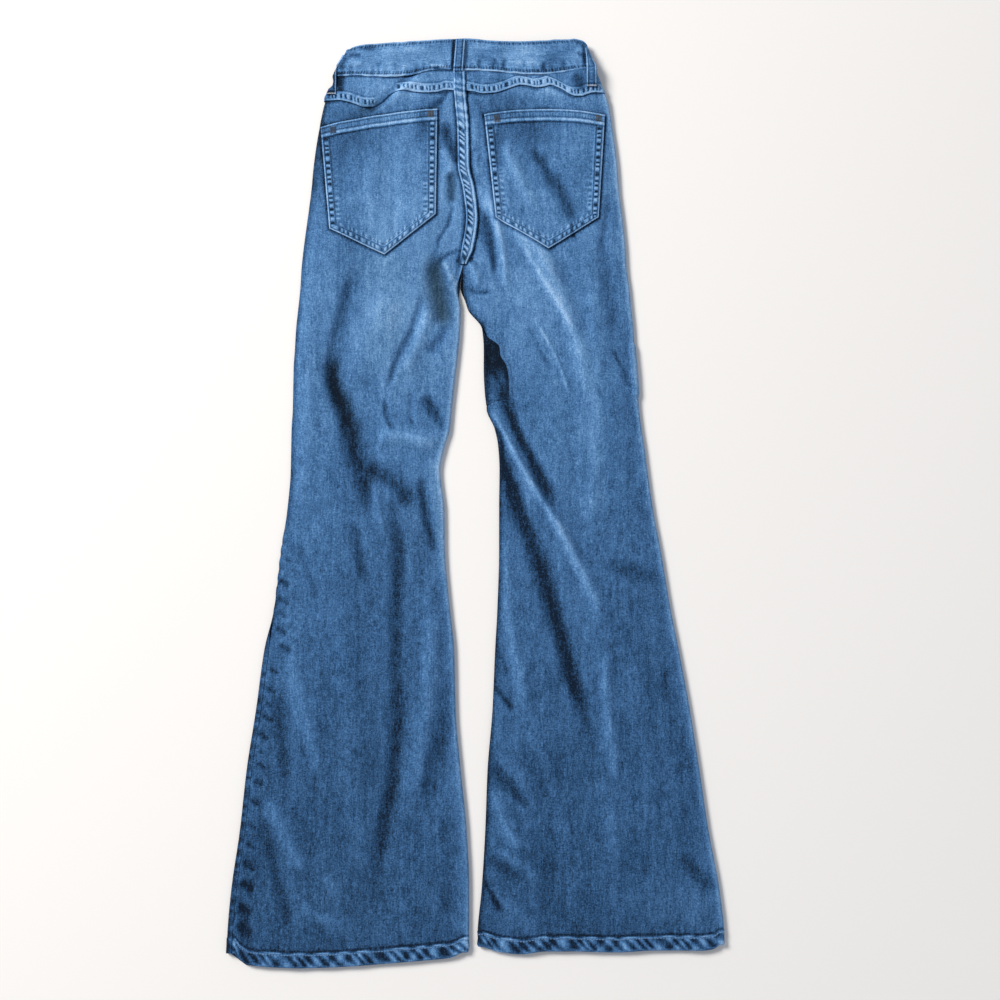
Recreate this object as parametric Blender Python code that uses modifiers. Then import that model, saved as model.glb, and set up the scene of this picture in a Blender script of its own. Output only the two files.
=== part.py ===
# Flared jeans in light stretch denim, lying flat on their front with the seat up.
# x runs across the body towards the wearer's right, y from the hems to the waist,
# z up from the surface that the jeans lie on. Sizes are in millimetres from the middle
# of the waist and turn to metres, from the middle of the whole outline, where a mesh
# is made.

import math
from collections import namedtuple

import bpy

MM = 0.001
CENTRE_X = 2.45        # middle of the whole outline
CENTRE_Y = -0.94
COLLECTION = "flared_jeans"

# Cloth
CLOTH = 1.2            # one layer of denim
HEM_CLOTH = 2.2        # turned-up hem
FRONT_HEM_CLOTH = 1.8
HEM_DEPTH = 16.0
BAND_CLOTH = 1.8       # waistband, two layers
LOOP_CLOTH = 1.6
GAP = 0.3              # between neighbouring pieces at a seam
SIDE_GAP = 0.6         # at the side seams, whose walls lean together inside
FOLD_GAP = 1.3         # added to it where the seam runs round a fold
SEAT_GAP = 0.7         # between the panels under the seat seam, and at the fly
BAND_GAP = 0.6         # at the waistband's lower edge in front
BAND_END_GAP = 1.0     # added at its ends, which slope
LAP_GAP = 0.6          # under a piece that lies on a panel
POCKET_GAP = 0.7
STEP = 1.2             # width of the step beside a raised strip

# Flattened tubes
FOLD_RADIUS = 3.0      # outer radius of the folded sides of the legs
BAND_RADIUS = 3.8      # outer radius of the folded ends of the waistband
EASE = 26.0            # distance over which the top rises from a folded side
BAND_LIFT = 2.4        # room under the waistband for the front loops and the button
LIFT_START = 425.0
LIFT_END = 482.0
CROTCH_TOP = 264.0     # above this the two back panels are joined
CROTCH_END = 238.0     # below this each leg is a tube of its own

# Sewn-on pieces
YOKE_LAP = 10.0        # width of the felled yoke seam
YOKE_TOP_OUT = 0.4
SEAT_SEAM_WIDTH = 14.0
SEAT_SEAM_END = 262.0
POCKET_BORDER = 10.0
POCKET_HEM = 17.0
RAISE = 0.7            # how far hems and borders stand above the cloth beside them
LOOP_WIDTH = 11.5
LOOP_ROWS = 8
BACK_LOOP_X = -17.5
LEFT_LOOP_ENDS = (471.0, 524.0)
RIGHT_LOOP_ENDS = (480.0, 526.0)
RIGHT_LOOP_X = 139.8
FRONT_LOOPS = (("left", -92.0), ("right", 68.0))
BUTTON_RADIUS = 8.5
BUTTON_TALL = 2.1
BUTTON_Y = 506.0

# Grid steps
LEG_ROW = 25.0
ROWS_LOW = -500.0
ROWS_TOP = 440.0
CURL_CELLS = 4
BACK_CELLS = 9
FRONT_CELLS = 4
SEAT_ROWS = 24
POCKET_SHARES = (0.22, 0.37, 0.68, 0.82)       # columns between the borders, with one at the tip
POCKET_LEVELS = (0.35, 0.52, 0.69, 0.84)       # rows between the hem and the lower border

# Outline of both legs. Above the crotch the inner columns are the seat seam.
Section = namedtuple("Section", "y left_outer left_inner right_inner right_outer fullness")
SECTIONS = (
    Section(-548, -275, -7, 6, 279, 5.6),
    Section(-506, -274, -4, 5, 279, 5.6),
    Section(-462, -271, -5, 9, 275, 5.6),
    Section(-397, -263, -8, 13, 264, 5.8),
    Section(-330, -257, -14, 15, 255, 6.0),
    Section(-263, -248, -21, 20, 245, 6.0),
    Section(-195, -240, -22, 23, 234, 6.2),
    Section(-149, -230, -27, 26, 225, 6.4),
    Section(-80, -224, -33, 28, 215, 6.6),
    Section(-34, -218, -35, 27, 207, 6.8),
    Section(13, -215, -40, 22, 201, 7.2),
    Section(40, -215, -35, 18, 198, 7.4),
    Section(61, -215, -29, 12, 196, 7.4),
    Section(84, -214, -27, 4, 194, 7.4),
    Section(132, -214, -22, 2, 191, 7.2),
    Section(181, -212, -18, 1, 187, 7.2),
    Section(205, -210, -18, -7, 185, 7.4),
    Section(229, -208, -16, -12, 183, 7.8),
    Section(254, -207, -14, -14, 181, 8.4),
    Section(278, -205, -9, -9, 180, 8.8),
    Section(314, -201, -4, -4, 176, 9.2),
    Section(351, -197, -8, -8, 172, 9.4),
    Section(379, -195, -14, -14, 170, 9.2),
    Section(427, -189, -15, -15, 165, 8.6),
    Section(462, -182, -18, -18, 159, 8.0),
    Section(498, -174, -20, -20, 149, 7.6),
)

# Where the seams lie: the run of skin from where the underside begins to curl, round
# the folded side. Below zero a seam is underneath, past a half turn it is on top.
Seam = namedtuple("Seam", "y left_outer left_inner right_inner right_outer")
SEAMS = (
    Seam(-548, 13, -2, -2, -2),
    Seam(-205, 12.5, -2, -2, -2),
    Seam(-165, 8, -2, -2, -2),
    Seam(-130, 2, -2, -2, -2),
    Seam(-100, -2, -2, -2, -2),
    Seam(-60, -2, -2, -2, -2),
    Seam(-10, -2, -2, 2, -2),
    Seam(20, -2, -2, 6, -2),
    Seam(42, -2, -2, 10, -2),
    Seam(60, -2, -2, 20, -2),
    Seam(82, -2, -2, 36, -2),
    Seam(120, -2, -2, 37, -2),
    Seam(150, -2, -2, 31, -2),
    Seam(172, -2, -1, 13, -2),
    Seam(198, -2, 2, 6, -2),
    Seam(228, -2, 4.4, 4.4, -2),
    Seam(510, -2, 4.4, 4.4, -2),
)

# Lines across the top of the garment, from the wearer's left to the right.
Waist = namedtuple("Waist", "x yoke_seam band_bottom band_top")
WAIST = (
    Waist(-180, 478, 499, 521),
    Waist(-165, 476, 499, 530),
    Waist(-140, 469, 497, 537),
    Waist(-117, 462, 496, 538),
    Waist(-104, 468, 496, 539),
    Waist(-91, 481, 497, 540),
    Waist(-72, 485, 502, 541),
    Waist(-52, 485, 508, 543),
    Waist(-29, 485, 506, 544),
    Waist(-11, 486, 504, 544),
    Waist(16, 489, 502, 543),
    Waist(39, 492, 500, 541),
    Waist(60, 490, 498, 541),
    Waist(87, 487, 498, 542),
    Waist(112, 480, 500, 543),
    Waist(126, 475, 503, 542),
    Waist(140, 475, 501, 532),
    Waist(153, 478, 499, 522),
)

# Lower edges of the hems, by share of the width from the outer to the inner side.
Hem = namedtuple("Hem", "share left right")
HEMS = (
    Hem(0.00, -535, -526),
    Hem(0.07, -542, -527),
    Hem(0.28, -546, -528),
    Hem(0.43, -545, -532),
    Hem(0.62, -544, -529),
    Hem(0.74, -542, -528),
    Hem(0.84, -539, -531),
    Hem(0.94, -536, -528),
    Hem(1.00, -530, -523),
)

# Ridges and troughs of the upper layer: a path through three points, half its width
# and its height, which is below zero for a trough.
Fold = namedtuple("Fold", "x0 y0 x1 y1 x2 y2 reach height")
FOLDS = (
    # wearer's left leg
    Fold(-120, 250, -160, 200, -170, 135, 12, -3.2),
    Fold(-170, 150, -155, 75, -136, 5, 12, -3.4),
    Fold(-136, 20, -128, -65, -116, -150, 13, -3.0),
    Fold(-196, 250, -196, 120, -186, -10, 14, 3.4),
    Fold(-134, 205, -140, 140, -112, 60, 16, 4.6),
    Fold(-63, 216, -82, 175, -98, 130, 10, -3.2),
    Fold(-45, 264, -44, 230, -30, 186, 9, -4.8),
    Fold(-74, 250, -66, 190, -52, 120, 13, 4.8),
    Fold(-124, 47, -86, 53, -40, 40, 9, 5.8),
    Fold(-112, 34, -84, 12, -52, 4, 11, -3.8),
    Fold(-56, 90, -44, 72, -30, 54, 7, -2.6),
    Fold(-73, 110, -73, 86, -72, 62, 6, -2.2),
    Fold(-61, 6, -50, -45, -44, -100, 11, -2.8),
    Fold(-92, 0, -84, -90, -86, -190, 17, 5.6),
    Fold(-131, -60, -100, -200, -96, -390, 18, 5.2),
    Fold(-70, -70, -68, -150, -66, -250, 13, -2.2),
    Fold(-212, -330, -186, -410, -170, -490, 16, 4.0),
    Fold(-160, -180, -176, -320, -196, -440, 20, -2.0),
    Fold(-50, -250, -40, -360, -42, -480, 20, 3.4),
    # wearer's right leg
    Fold(42, 270, 92, 215, 120, 130, 12, 5.4),
    Fold(120, 150, 136, 80, 146, 10, 12, 4.6),
    Fold(68, 205, 90, 155, 116, 98, 9, -2.4),
    Fold(10, 182, 36, 140, 44, 66, 9, 6.4),
    Fold(14, 150, 16, 110, 20, 70, 9, -4.6),
    Fold(16, 84, 66, -5, 122, -140, 13, 7.0),
    Fold(122, -130, 134, -190, 136, -270, 15, 4.0),
    Fold(28, 30, 62, -78, 122, -280, 12, -3.6),
    Fold(-6, 226, 6, 226, 20, 224, 6, -2.4),
    Fold(168, 170, 176, 140, 182, 108, 9, -2.2),
    Fold(60, -110, 66, -250, 60, -420, 18, 4.0),
    Fold(14, -340, 40, -392, 66, -438, 11, -2.6),
    Fold(160, -60, 176, -220, 200, -420, 18, 3.4),
    Fold(140, -300, 150, -400, 150, -500, 18, -2.2),
    # seat
    Fold(-30, 380, -34, 330, -38, 290, 11, -3.4),
    Fold(6, 350, 8, 305, 12, 262, 7, -2.4),
    Fold(-122, 462, -104, 480, -88, 494, 9, 2.8),
)

Pocket = namedtuple("Pocket", "side top_left top_right low_left low_right arch drop tip_share")
POCKETS = (
    Pocket("left", (-184, 431), (-47, 455), (-174, 308), (-50, 322), 3.0, 42.0, 0.53),
    Pocket("right", (10, 449), (155, 448), (24, 319), (148, 317), 6.0, 37.0, 0.52),
)

Side = namedtuple("Side", "name outer inner inward")
SIDES = (
    Side("left", "left_outer", "left_inner", 1),
    Side("right", "right_outer", "right_inner", -1),
)

# Front of the waistband, below the back one
FRONT_BAND_BOTTOM = 499.0
FRONT_BAND_TOP = 527.0
FRONT_DIP = 12.0       # how much lower the front's edge lies at its middle
FLY_X = -16.0          # centre front
FLY_LAP = 34.0         # overlap of the waistband's ends
BAND_LEFT = (-173.0, -160.0)     # x of the left end, at the lower and the upper edge
BAND_RIGHT = (149.0, 138.5)
BAND_DOME = 2.2        # rise of the back band between its ends

# Half the outline of the button from its back to its face, in shares of its radius and height.
Turn = namedtuple("Turn", "reach rise")
BUTTON_PROFILE = (
    Turn(0.00, 1.00),
    Turn(0.87, 1.00),
    Turn(1.00, 0.67),
    Turn(1.00, 0.33),
    Turn(0.89, 0.00),
    Turn(0.73, 0.00),
    Turn(0.61, 0.24),
    Turn(0.00, 0.24),
)

DENIM = (0.13, 0.25, 0.44)
DENIM_PALE = (0.24, 0.36, 0.54)
DENIM_SEAM = (0.16, 0.26, 0.42)
BRASS = (0.46, 0.33, 0.19)


def smooth(share):
    # Eased step from 0 to 1.
    share = min(max(share, 0.0), 1.0)
    return share * share * (3.0 - 2.0 * share)


def swell(share):
    # Quarter wave from 0 to 1, steep at first.
    return math.sin(math.pi / 2.0 * min(max(share, 0.0), 1.0))


def mix(start, end, share):
    return start + (end - start) * share


def metres(x, y, z):
    return (x - CENTRE_X) * MM, (y - CENTRE_Y) * MM, z * MM


def along(rows, at, column):
    # Value of a table's column between its rows, on a curve that never overshoots them.
    keys = [row[0] for row in rows]
    values = [getattr(row, column) for row in rows]
    at = min(max(at, keys[0]), keys[-1])
    index = 0
    while index < len(keys) - 2 and keys[index + 1] <= at:
        index += 1

    def slope(place):
        return (values[place + 1] - values[place]) / (keys[place + 1] - keys[place])

    def tangent(place):
        if place == 0:
            return slope(0)
        if place == len(keys) - 1:
            return slope(place - 1)
        before, after = slope(place - 1), slope(place)
        return 2.0 * before * after / (before + after) if before * after > 0.0 else 0.0

    step = keys[index + 1] - keys[index]
    t = (at - keys[index]) / step
    start, end = values[index], values[index + 1]
    bend_in, bend_out = tangent(index) * step, tangent(index + 1) * step
    turn = start - end
    return start + bend_in * t + t * t * ((-3.0 * turn - 2.0 * bend_in - bend_out)
                                          + t * (2.0 * turn + bend_in + bend_out))


def fold_path(fold, pieces=12):
    # Points of the fold's path, a parabola through its three places.
    bend_x = 2.0 * fold.x1 - (fold.x0 + fold.x2) / 2.0
    bend_y = 2.0 * fold.y1 - (fold.y0 + fold.y2) / 2.0
    points = []
    for index in range(pieces + 1):
        t = index / pieces
        a, b, c = (1 - t) ** 2, 2 * t * (1 - t), t * t
        points.append((a * fold.x0 + b * bend_x + c * fold.x2,
                       a * fold.y0 + b * bend_y + c * fold.y2))
    return points


FOLD_PATHS = [(fold, fold_path(fold)) for fold in FOLDS]


def fold_height(fold, path, x, y):
    # Rise of one fold at a place: a bell across its path that fades at its ends.
    nearest, place = 1e9, 0.0
    for index in range(len(path) - 1):
        ax, ay = path[index]
        bx, by = path[index + 1]
        run_x, run_y = bx - ax, by - ay
        share = ((x - ax) * run_x + (y - ay) * run_y) / (run_x * run_x + run_y * run_y)
        share = min(max(share, 0.0), 1.0)
        off = math.hypot(x - ax - run_x * share, y - ay - run_y * share)
        if off < nearest:
            nearest, place = off, (index + share) / (len(path) - 1)
    fade = smooth(place / 0.3) * smooth((1.0 - place) / 0.3)
    return fold.height * fade * math.exp(-(nearest / fold.reach) ** 2)


def lift(y):
    # Height of the underside above the surface.
    return BAND_LIFT * smooth((y - LIFT_START) / (LIFT_END - LIFT_START))


def parted(y):
    # 0 where the back panels are joined, 1 where the legs are apart.
    return smooth((CROTCH_TOP - y) / (CROTCH_TOP - CROTCH_END))


def top_height(side, x, y):
    # Height of the upper skin, eased down to the folded sides.
    from_outer = (x - along(SECTIONS, y, side.outer)) * side.inward
    from_inner = (along(SECTIONS, y, side.inner) - x) * side.inward
    height = along(SECTIONS, y, "fullness")
    for fold, path in FOLD_PATHS:
        height += fold_height(fold, path, x, y)
    lowest = 2.0 * CLOTH + GAP + 0.4
    height = lowest + math.log1p(math.exp(height - lowest))
    ease = swell((from_outer - FOLD_RADIUS) / EASE)
    ease *= 1.0 - parted(y) * (1.0 - swell((from_inner - FOLD_RADIUS) / EASE))
    return lift(y) + mix(2.0 * FOLD_RADIUS, height, ease)


def seam_halves(column, y):
    # Runs of skin at which the front panel ends and the back panel starts. Round the
    # fold the walls lean together inside, so the gap is wider there.
    seam = along(SEAMS, y, column)
    half_turn = math.pi * FOLD_RADIUS
    in_fold = smooth((seam + 2.0) / 2.0) * smooth((half_turn + 2.0 - seam) / 2.0)
    half = (SIDE_GAP + FOLD_GAP * in_fold) / 2.0
    return seam - half, seam + half


def curled(side, edge_x, inward, y, run, out):
    # Point on a folded side, at a run of skin from where the underside begins to curl.
    half_turn = math.pi * FOLD_RADIUS
    if run < 0.0:
        return edge_x + inward * (FOLD_RADIUS - run), lift(y) - out
    if run < half_turn:
        turn = run / FOLD_RADIUS
        reach = FOLD_RADIUS + out
        return (edge_x + inward * (FOLD_RADIUS - reach * math.sin(turn)),
                lift(y) + FOLD_RADIUS - reach * math.cos(turn))
    x = edge_x + inward * (FOLD_RADIUS + run - half_turn)
    return x, top_height(side, x, y) + out


def outer_point(side, y, run, out=0.0):
    edge_x = along(SECTIONS, y, side.outer)
    x, z = curled(side, edge_x, side.inward, y, run, out)
    return x, y, z


def inner_point(side, y, run, seam, upper, out=0.0):
    # As outer_point on the inner side, which lies flat at the seat seam and the fly.
    edge_x = along(SECTIONS, y, side.inner) - side.inward * SEAT_GAP / 2.0
    x, z = curled(side, edge_x, -side.inward, y, run, out)
    share = parted(y)
    if share < 1.0:
        flat_x = edge_x - side.inward * abs(run - seam)
        flat_z = top_height(side, flat_x, y) + out if upper else lift(y)
        x, z = mix(flat_x, x, share), mix(flat_z, z, share)
    return x, y, z


def back_runs(column, y):
    # Skin runs of the back panel's columns on a folded side, from the seam inwards.
    seam = seam_halves(column, y)[1]
    end = max(seam, math.pi * FOLD_RADIUS) + 3.0
    return [mix(seam, end, cell / CURL_CELLS) for cell in range(CURL_CELLS + 1)]


def front_runs(column, y):
    # The same for the front panel, from the underside to the seam.
    seam = seam_halves(column, y)[0]
    half_turn = math.pi * FOLD_RADIUS
    if seam > half_turn + 2.0:
        return [seam, mix(seam, half_turn, 0.5), half_turn, half_turn / 2.0, 0.0]
    start = min(0.0, seam - 5.0)
    return [mix(seam, start, cell / 4.0) for cell in range(5)]


def share_at(side, x, y):
    # Share of the width from the outer side, at an x.
    outer, inner = along(SECTIONS, y, side.outer), along(SECTIONS, y, side.inner)
    return (x - outer) / (inner - outer)


def back_row(side, row_y, out=0.0):
    # Points across a back panel; row_y(share) gives the y of each of them.
    outer = [outer_point(side, row_y(0.0), run, out) for run in back_runs(side.outer, row_y(0.0))]
    runs = back_runs(side.inner, row_y(1.0))
    inner = [inner_point(side, row_y(1.0), run, runs[0], True, out) for run in runs]
    middle = []
    for cell in range(1, BACK_CELLS):
        share = cell / BACK_CELLS
        x = mix(outer[-1][0], inner[-1][0], share)
        y = row_y(share)
        middle.append((x, y, top_height(side, x, y) + out))
    return outer + middle + inner[::-1]


def front_row(side, row_y):
    # Points across a front panel, which is flat below and may reach round its sides.
    start_y, end_y = row_y(0.0), row_y(1.0)
    outer = []
    for run in front_runs(side.outer, start_y):
        x = outer_point(side, start_y, run)[0]
        outer.append(outer_point(side, row_y(share_at(side, x, start_y)), run))
    inner = []
    runs = front_runs(side.inner, end_y)
    for run in runs:
        x = inner_point(side, end_y, run, runs[0], False)[0]
        inner.append(inner_point(side, row_y(share_at(side, x, end_y)), run, runs[0], False))
    middle = []
    for cell in range(1, FRONT_CELLS):
        x = mix(outer[-1][0], inner[-1][0], cell / FRONT_CELLS)
        y = row_y(share_at(side, x, start_y))
        middle.append((x, y, lift(y)))
    return outer + middle + inner[::-1]


def across(side, share, y):
    # x at a share of the width from the outer to the inner side.
    return mix(along(SECTIONS, y, side.outer), along(SECTIONS, y, side.inner), share)


def leg_levels():
    # Rows of a leg, shared by all four panels so that their seams run together: the
    # hem's by height above its edge, the even ones by y, the upper ones by share.
    levels = [("hem", 0.0), ("hem", HEM_DEPTH), ("hem", HEM_DEPTH + STEP)]
    count = round((ROWS_TOP - ROWS_LOW) / LEG_ROW)
    levels += [("even", mix(ROWS_LOW, ROWS_TOP, row / count)) for row in range(count + 1)]
    return levels + [("upper", 0.5), ("upper", 1.0)]


def level_y(level, low, high):
    # y of a row, between a panel's lower and upper edges.
    kind, place = level
    if kind == "hem":
        return low + place
    if kind == "even":
        return place
    return mix(ROWS_TOP, high, place)


def make_material(name, colour, roughness, metallic=0.0):
    material = bpy.data.materials.new(name)
    material.use_nodes = True
    shader = material.node_tree.nodes["Principled BSDF"]
    shader.inputs["Base Color"].default_value = (*colour, 1.0)
    shader.inputs["Roughness"].default_value = roughness
    shader.inputs["Metallic"].default_value = metallic
    material.diffuse_color = (*colour, 1.0)
    return material


def add_object(name, mesh, material):
    mesh.materials.append(material)
    item = bpy.data.objects.new(name, mesh)
    bpy.data.collections[COLLECTION].objects.link(item)
    return item


def grid_mesh(name, grid, downward):
    # Open surface through rows of points, its normals up or down.
    columns = len(grid[0])
    points = [metres(x, y, z) for row in grid for x, y, z in row]
    faces = []
    for row in range(len(grid) - 1):
        for column in range(columns - 1):
            corner = row * columns + column
            faces.append((corner, corner + 1, corner + columns + 1, corner + columns))
    mesh = bpy.data.meshes.new(name)
    mesh.from_pydata(points, [], faces)
    upward = sum(face.normal.z * face.area for face in mesh.polygons) > 0.0
    if upward == downward:
        mesh.flip_normals()
    return mesh


def cloth_object(name, grid, walls, material, downward=False):
    # A layer of cloth: its outer skin, and a wall that Solidify grows inwards.
    mesh = grid_mesh(name, grid, downward)
    mesh.shade_smooth()
    item = add_object(name, mesh, material)
    thickest = max(max(row) for row in walls)
    group = item.vertex_groups.new(name="wall")
    flat = [wall for row in walls for wall in row]
    for index, wall in enumerate(flat):
        group.add([index], wall / thickest, "REPLACE")
    wall = item.modifiers.new("Wall", "SOLIDIFY")
    wall.thickness = thickest * MM
    wall.offset = -1.0
    wall.use_even_offset = False
    wall.vertex_group = group.name
    return item


def make_leg_back(side, material):
    grid = []
    walls = []
    for level in leg_levels():
        in_hem = level[0] == "hem" and level[1] <= HEM_DEPTH

        def row_y(share):
            high = along(WAIST, across(side, share, 480.0), "yoke_seam") + YOKE_LAP / 2.0 - 1.0
            return level_y(level, along(HEMS, share, side.name), high)

        row = [(x, y, max(z, 0.0)) for x, y, z in back_row(side, row_y, RAISE if in_hem else 0.0)]
        grid.append(row)
        walls.append([HEM_CLOTH if in_hem else CLOTH] * len(row))
    return cloth_object("leg_back_" + side.name, grid, walls, material)


def front_band_edge(x, edge, dip):
    # Edge of the front of the waistband, lowest at its middle.
    half = (BAND_RIGHT[0] - BAND_LEFT[0]) / 2.0
    centre = (BAND_RIGHT[0] + BAND_LEFT[0]) / 2.0
    return edge - dip * (1.0 - min(abs(x - centre) / half, 1.0) ** 2) ** 2


def make_leg_front(side, material):
    grid = []
    walls = []
    for level in leg_levels():
        in_hem = level[0] == "hem" and level[1] <= HEM_DEPTH

        def row_y(share):
            x = across(side, share, 495.0)
            high = front_band_edge(x, FRONT_BAND_BOTTOM, FRONT_DIP) - BAND_GAP
            return level_y(level, along(HEMS, share, side.name), high)

        row = front_row(side, row_y)
        grid.append(row)
        walls.append([FRONT_HEM_CLOTH if in_hem else CLOTH] * len(row))
    return cloth_object("leg_front_" + side.name, grid, walls, material, downward=True)


def yoke_row(side, place, out):
    # Row of a yoke: place is a distance above its lower edge, or "middle" or "top".
    def row_y(share):
        x = across(side, share, 485.0)
        low = along(WAIST, x, "yoke_seam") - YOKE_LAP / 2.0
        high = along(WAIST, x, "band_bottom") - GAP
        if place == "top":
            return high
        if place == "middle":
            return mix(low + YOKE_LAP + STEP, high, 0.5)
        return low + place

    return back_row(side, row_y, out)


def make_yoke(side, material):
    # The lower rows lap over the back panel as a felled seam.
    over = LAP_GAP + CLOTH
    rows = ((0.0, over), (YOKE_LAP, over), (YOKE_LAP + STEP, over - 0.2),
            ("middle", 0.5), ("top", YOKE_TOP_OUT))
    grid = [yoke_row(side, place, out) for place, out in rows]
    walls = [[CLOTH] * len(row) for row in grid]
    return cloth_object("yoke_" + side.name, grid, walls, material)


def make_pocket(pocket, material):
    # A patch with a hem along its top and folded-in borders round the other sides.
    side = SIDES[0] if pocket.side == "left" else SIDES[1]
    width = pocket.top_right[0] - pocket.top_left[0]
    depth = pocket.top_left[1] - pocket.low_left[1]
    border = POCKET_BORDER / width
    edge = (POCKET_BORDER + STEP) / width
    tip = pocket.tip_share
    shares = [0.0, border, edge, *sorted((*POCKET_SHARES, tip)), 1.0 - edge, 1.0 - border, 1.0]
    hem = POCKET_HEM / depth
    levels = [0.0, hem, hem + STEP / depth, *POCKET_LEVELS]
    levels += [1.0 - (POCKET_BORDER + STEP) / depth, 1.0 - POCKET_BORDER / depth, 1.0]
    grid = []
    walls = []
    for level in levels:
        row = []
        wall_row = []
        for share in shares:
            left = [mix(pocket.top_left[i], pocket.low_left[i], level) for i in (0, 1)]
            right = [mix(pocket.top_right[i], pocket.low_right[i], level) for i in (0, 1)]
            x = mix(left[0], right[0], share)
            y = mix(left[1], right[1], share)
            y += pocket.arch * 4.0 * share * (1.0 - share) * (1.0 - level)
            y -= pocket.drop * level * min(share / tip, (1.0 - share) / (1.0 - tip))
            raised = level <= hem or level > levels[-3] or share <= border or share >= 1.0 - border
            extra = RAISE if raised else 0.0
            row.append((x, y, top_height(side, x, y) + POCKET_GAP + CLOTH + extra))
            wall_row.append(CLOTH + extra)
        grid.append(row)
        walls.append(wall_row)
    return cloth_object("pocket_back_" + pocket.side, grid, walls, material)


def make_seat_seam(material):
    # Felled seam down the middle of the seat, from the waistband to the crotch.
    top = along(WAIST, -11.0, "band_bottom") - BAND_GAP
    yoke_low = along(WAIST, -20.0, "yoke_seam") - YOKE_LAP / 2.0
    over = LAP_GAP + CLOTH
    grid = []
    walls = []
    for index in range(SEAT_ROWS + 1):
        y = mix(SEAT_SEAM_END, top, index / SEAT_ROWS)
        centre = along(SECTIONS, y, "left_inner")
        over_yoke = over * smooth((y - yoke_low + 10.0) / 8.0)
        out = over + over_yoke * mix(1.0, 0.55, smooth((y - yoke_low - YOKE_LAP) / 8.0))
        half = SEAT_SEAM_WIDTH / 2.0 * mix(0.6, 1.0, smooth((y - SEAT_SEAM_END) / 20.0))
        row = []
        for share in (-1.0, -0.5, 0.5, 1.0):
            x = centre + half * share
            side = SIDES[0] if share < 0 else SIDES[1]
            bulge = 0.5 * (1.0 - share * share)
            row.append((x, y, top_height(side, x, y) + out + bulge))
        grid.append(row)
        walls.append([CLOTH] * len(row))
    return cloth_object("seat_seam", grid, walls, material)


def band_height(share):
    # Height of the back band's outer face, at a share from its left to its right end.
    rise = smooth(share / 0.3) * smooth((1.0 - share) / 0.3)
    return BAND_LIFT + 2.0 * BAND_RADIUS + BAND_DOME * rise


def yoke_top_edge():
    # The yokes' upper edges from left to right, without their curled ends.
    left = yoke_row(SIDES[0], "top", 0.0)[CURL_CELLS:]
    right = yoke_row(SIDES[1], "top", 0.0)[CURL_CELLS:]
    return left[:-CURL_CELLS] + [left[-1], right[-1]] + right[:-CURL_CELLS][::-1]


def band_back(low, level):
    # Point of the back band, above a point of the yokes' upper edge.
    start, end = BAND_LEFT[0] + BAND_RADIUS, BAND_RIGHT[0] - BAND_RADIUS
    share = min(max((low[0] - start) / (end - start), 0.0), 1.0)
    high_x = mix(BAND_LEFT[1] + BAND_RADIUS, BAND_RIGHT[1] - BAND_RADIUS, share)
    high = along(WAIST, high_x, "band_top")
    x = mix(mix(start, end, share), high_x, level)
    return x, mix(low[1] + GAP, high, level), band_height(share)


def band_fold(ends, inward, turn, level):
    # Point of a folded end: turn goes from the front, 0, to the back, 1.
    edge = mix(ends[0], ends[1], level)
    low = mix(FRONT_BAND_BOTTOM, along(WAIST, ends[0], "band_bottom"), turn)
    low += BAND_END_GAP * math.sin(math.pi * turn)
    high = mix(FRONT_BAND_TOP, along(WAIST, ends[1] + inward * BAND_RADIUS, "band_top"), turn)
    x = edge + inward * BAND_RADIUS * (1.0 - math.sin(math.pi * turn))
    return x, mix(low, high, level), BAND_LIFT + BAND_RADIUS * (1.0 - math.cos(math.pi * turn))


def band_front(ends, inward, share, level, inner):
    # Point of the front band; share goes from the folded end to past the fly.
    start = mix(ends[0], ends[1], level) + inward * BAND_RADIUS
    x = mix(start, FLY_X + inward * FLY_LAP / 2.0, share)
    low = front_band_edge(x, FRONT_BAND_BOTTOM, FRONT_DIP)
    high = front_band_edge(x, FRONT_BAND_TOP, 1.0)
    over = (BAND_CLOTH + GAP) * smooth((share - 0.6) / 0.16) if inner else 0.0
    return x, mix(low, high, level), BAND_LIFT + over


def band_row(level):
    row = [band_front(BAND_LEFT, 1, 1.0 - cell / 6.0, level, False) for cell in range(7)]
    row += [band_fold(BAND_LEFT, 1, turn, level) for turn in (0.25, 0.5, 0.75)]
    row += [band_back(low, level) for low in yoke_top_edge()]
    row += [band_fold(BAND_RIGHT, -1, turn, level) for turn in (0.75, 0.5, 0.25)]
    shares = (0.0, 0.25, 0.5, 0.6, 0.68, 0.76, 0.88, 1.0)
    return row + [band_front(BAND_RIGHT, -1, share, level, True) for share in shares]


def make_waistband(material):
    # One strip from the fly round the left end, across the back and round to the fly.
    grid = [band_row(level) for level in (0.0, 0.33, 0.67, 1.0)]
    walls = [[BAND_CLOTH] * len(row) for row in grid]
    item = cloth_object("waistband", grid, walls, material)
    back_face = item.data.polygons[len(grid[0]) // 2]
    if back_face.normal.z < 0.0:
        item.data.flip_normals()
    return item


def make_strip(name, rows, thickness, material):
    # A narrow strip from rows of outer points.
    walls = [[thickness] * len(row) for row in rows]
    return cloth_object(name, rows, walls, material)


def make_back_loop(material):
    rows = []
    half = LOOP_WIDTH / 2.0
    low = along(WAIST, BACK_LOOP_X, "band_bottom") + GAP
    high = along(WAIST, BACK_LOOP_X, "band_top") - 0.5
    for index in range(LOOP_ROWS + 1):
        share = index / LOOP_ROWS
        y = mix(low, high, share)
        arch = 0.9 * math.sin(math.pi * share)
        z = band_height(0.5) + GAP + LOOP_CLOTH + arch
        rows.append([(BACK_LOOP_X - half, y, z), (BACK_LOOP_X + half, y, z)])
    return make_strip("belt_loop_back", rows, LOOP_CLOTH, material)


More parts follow.
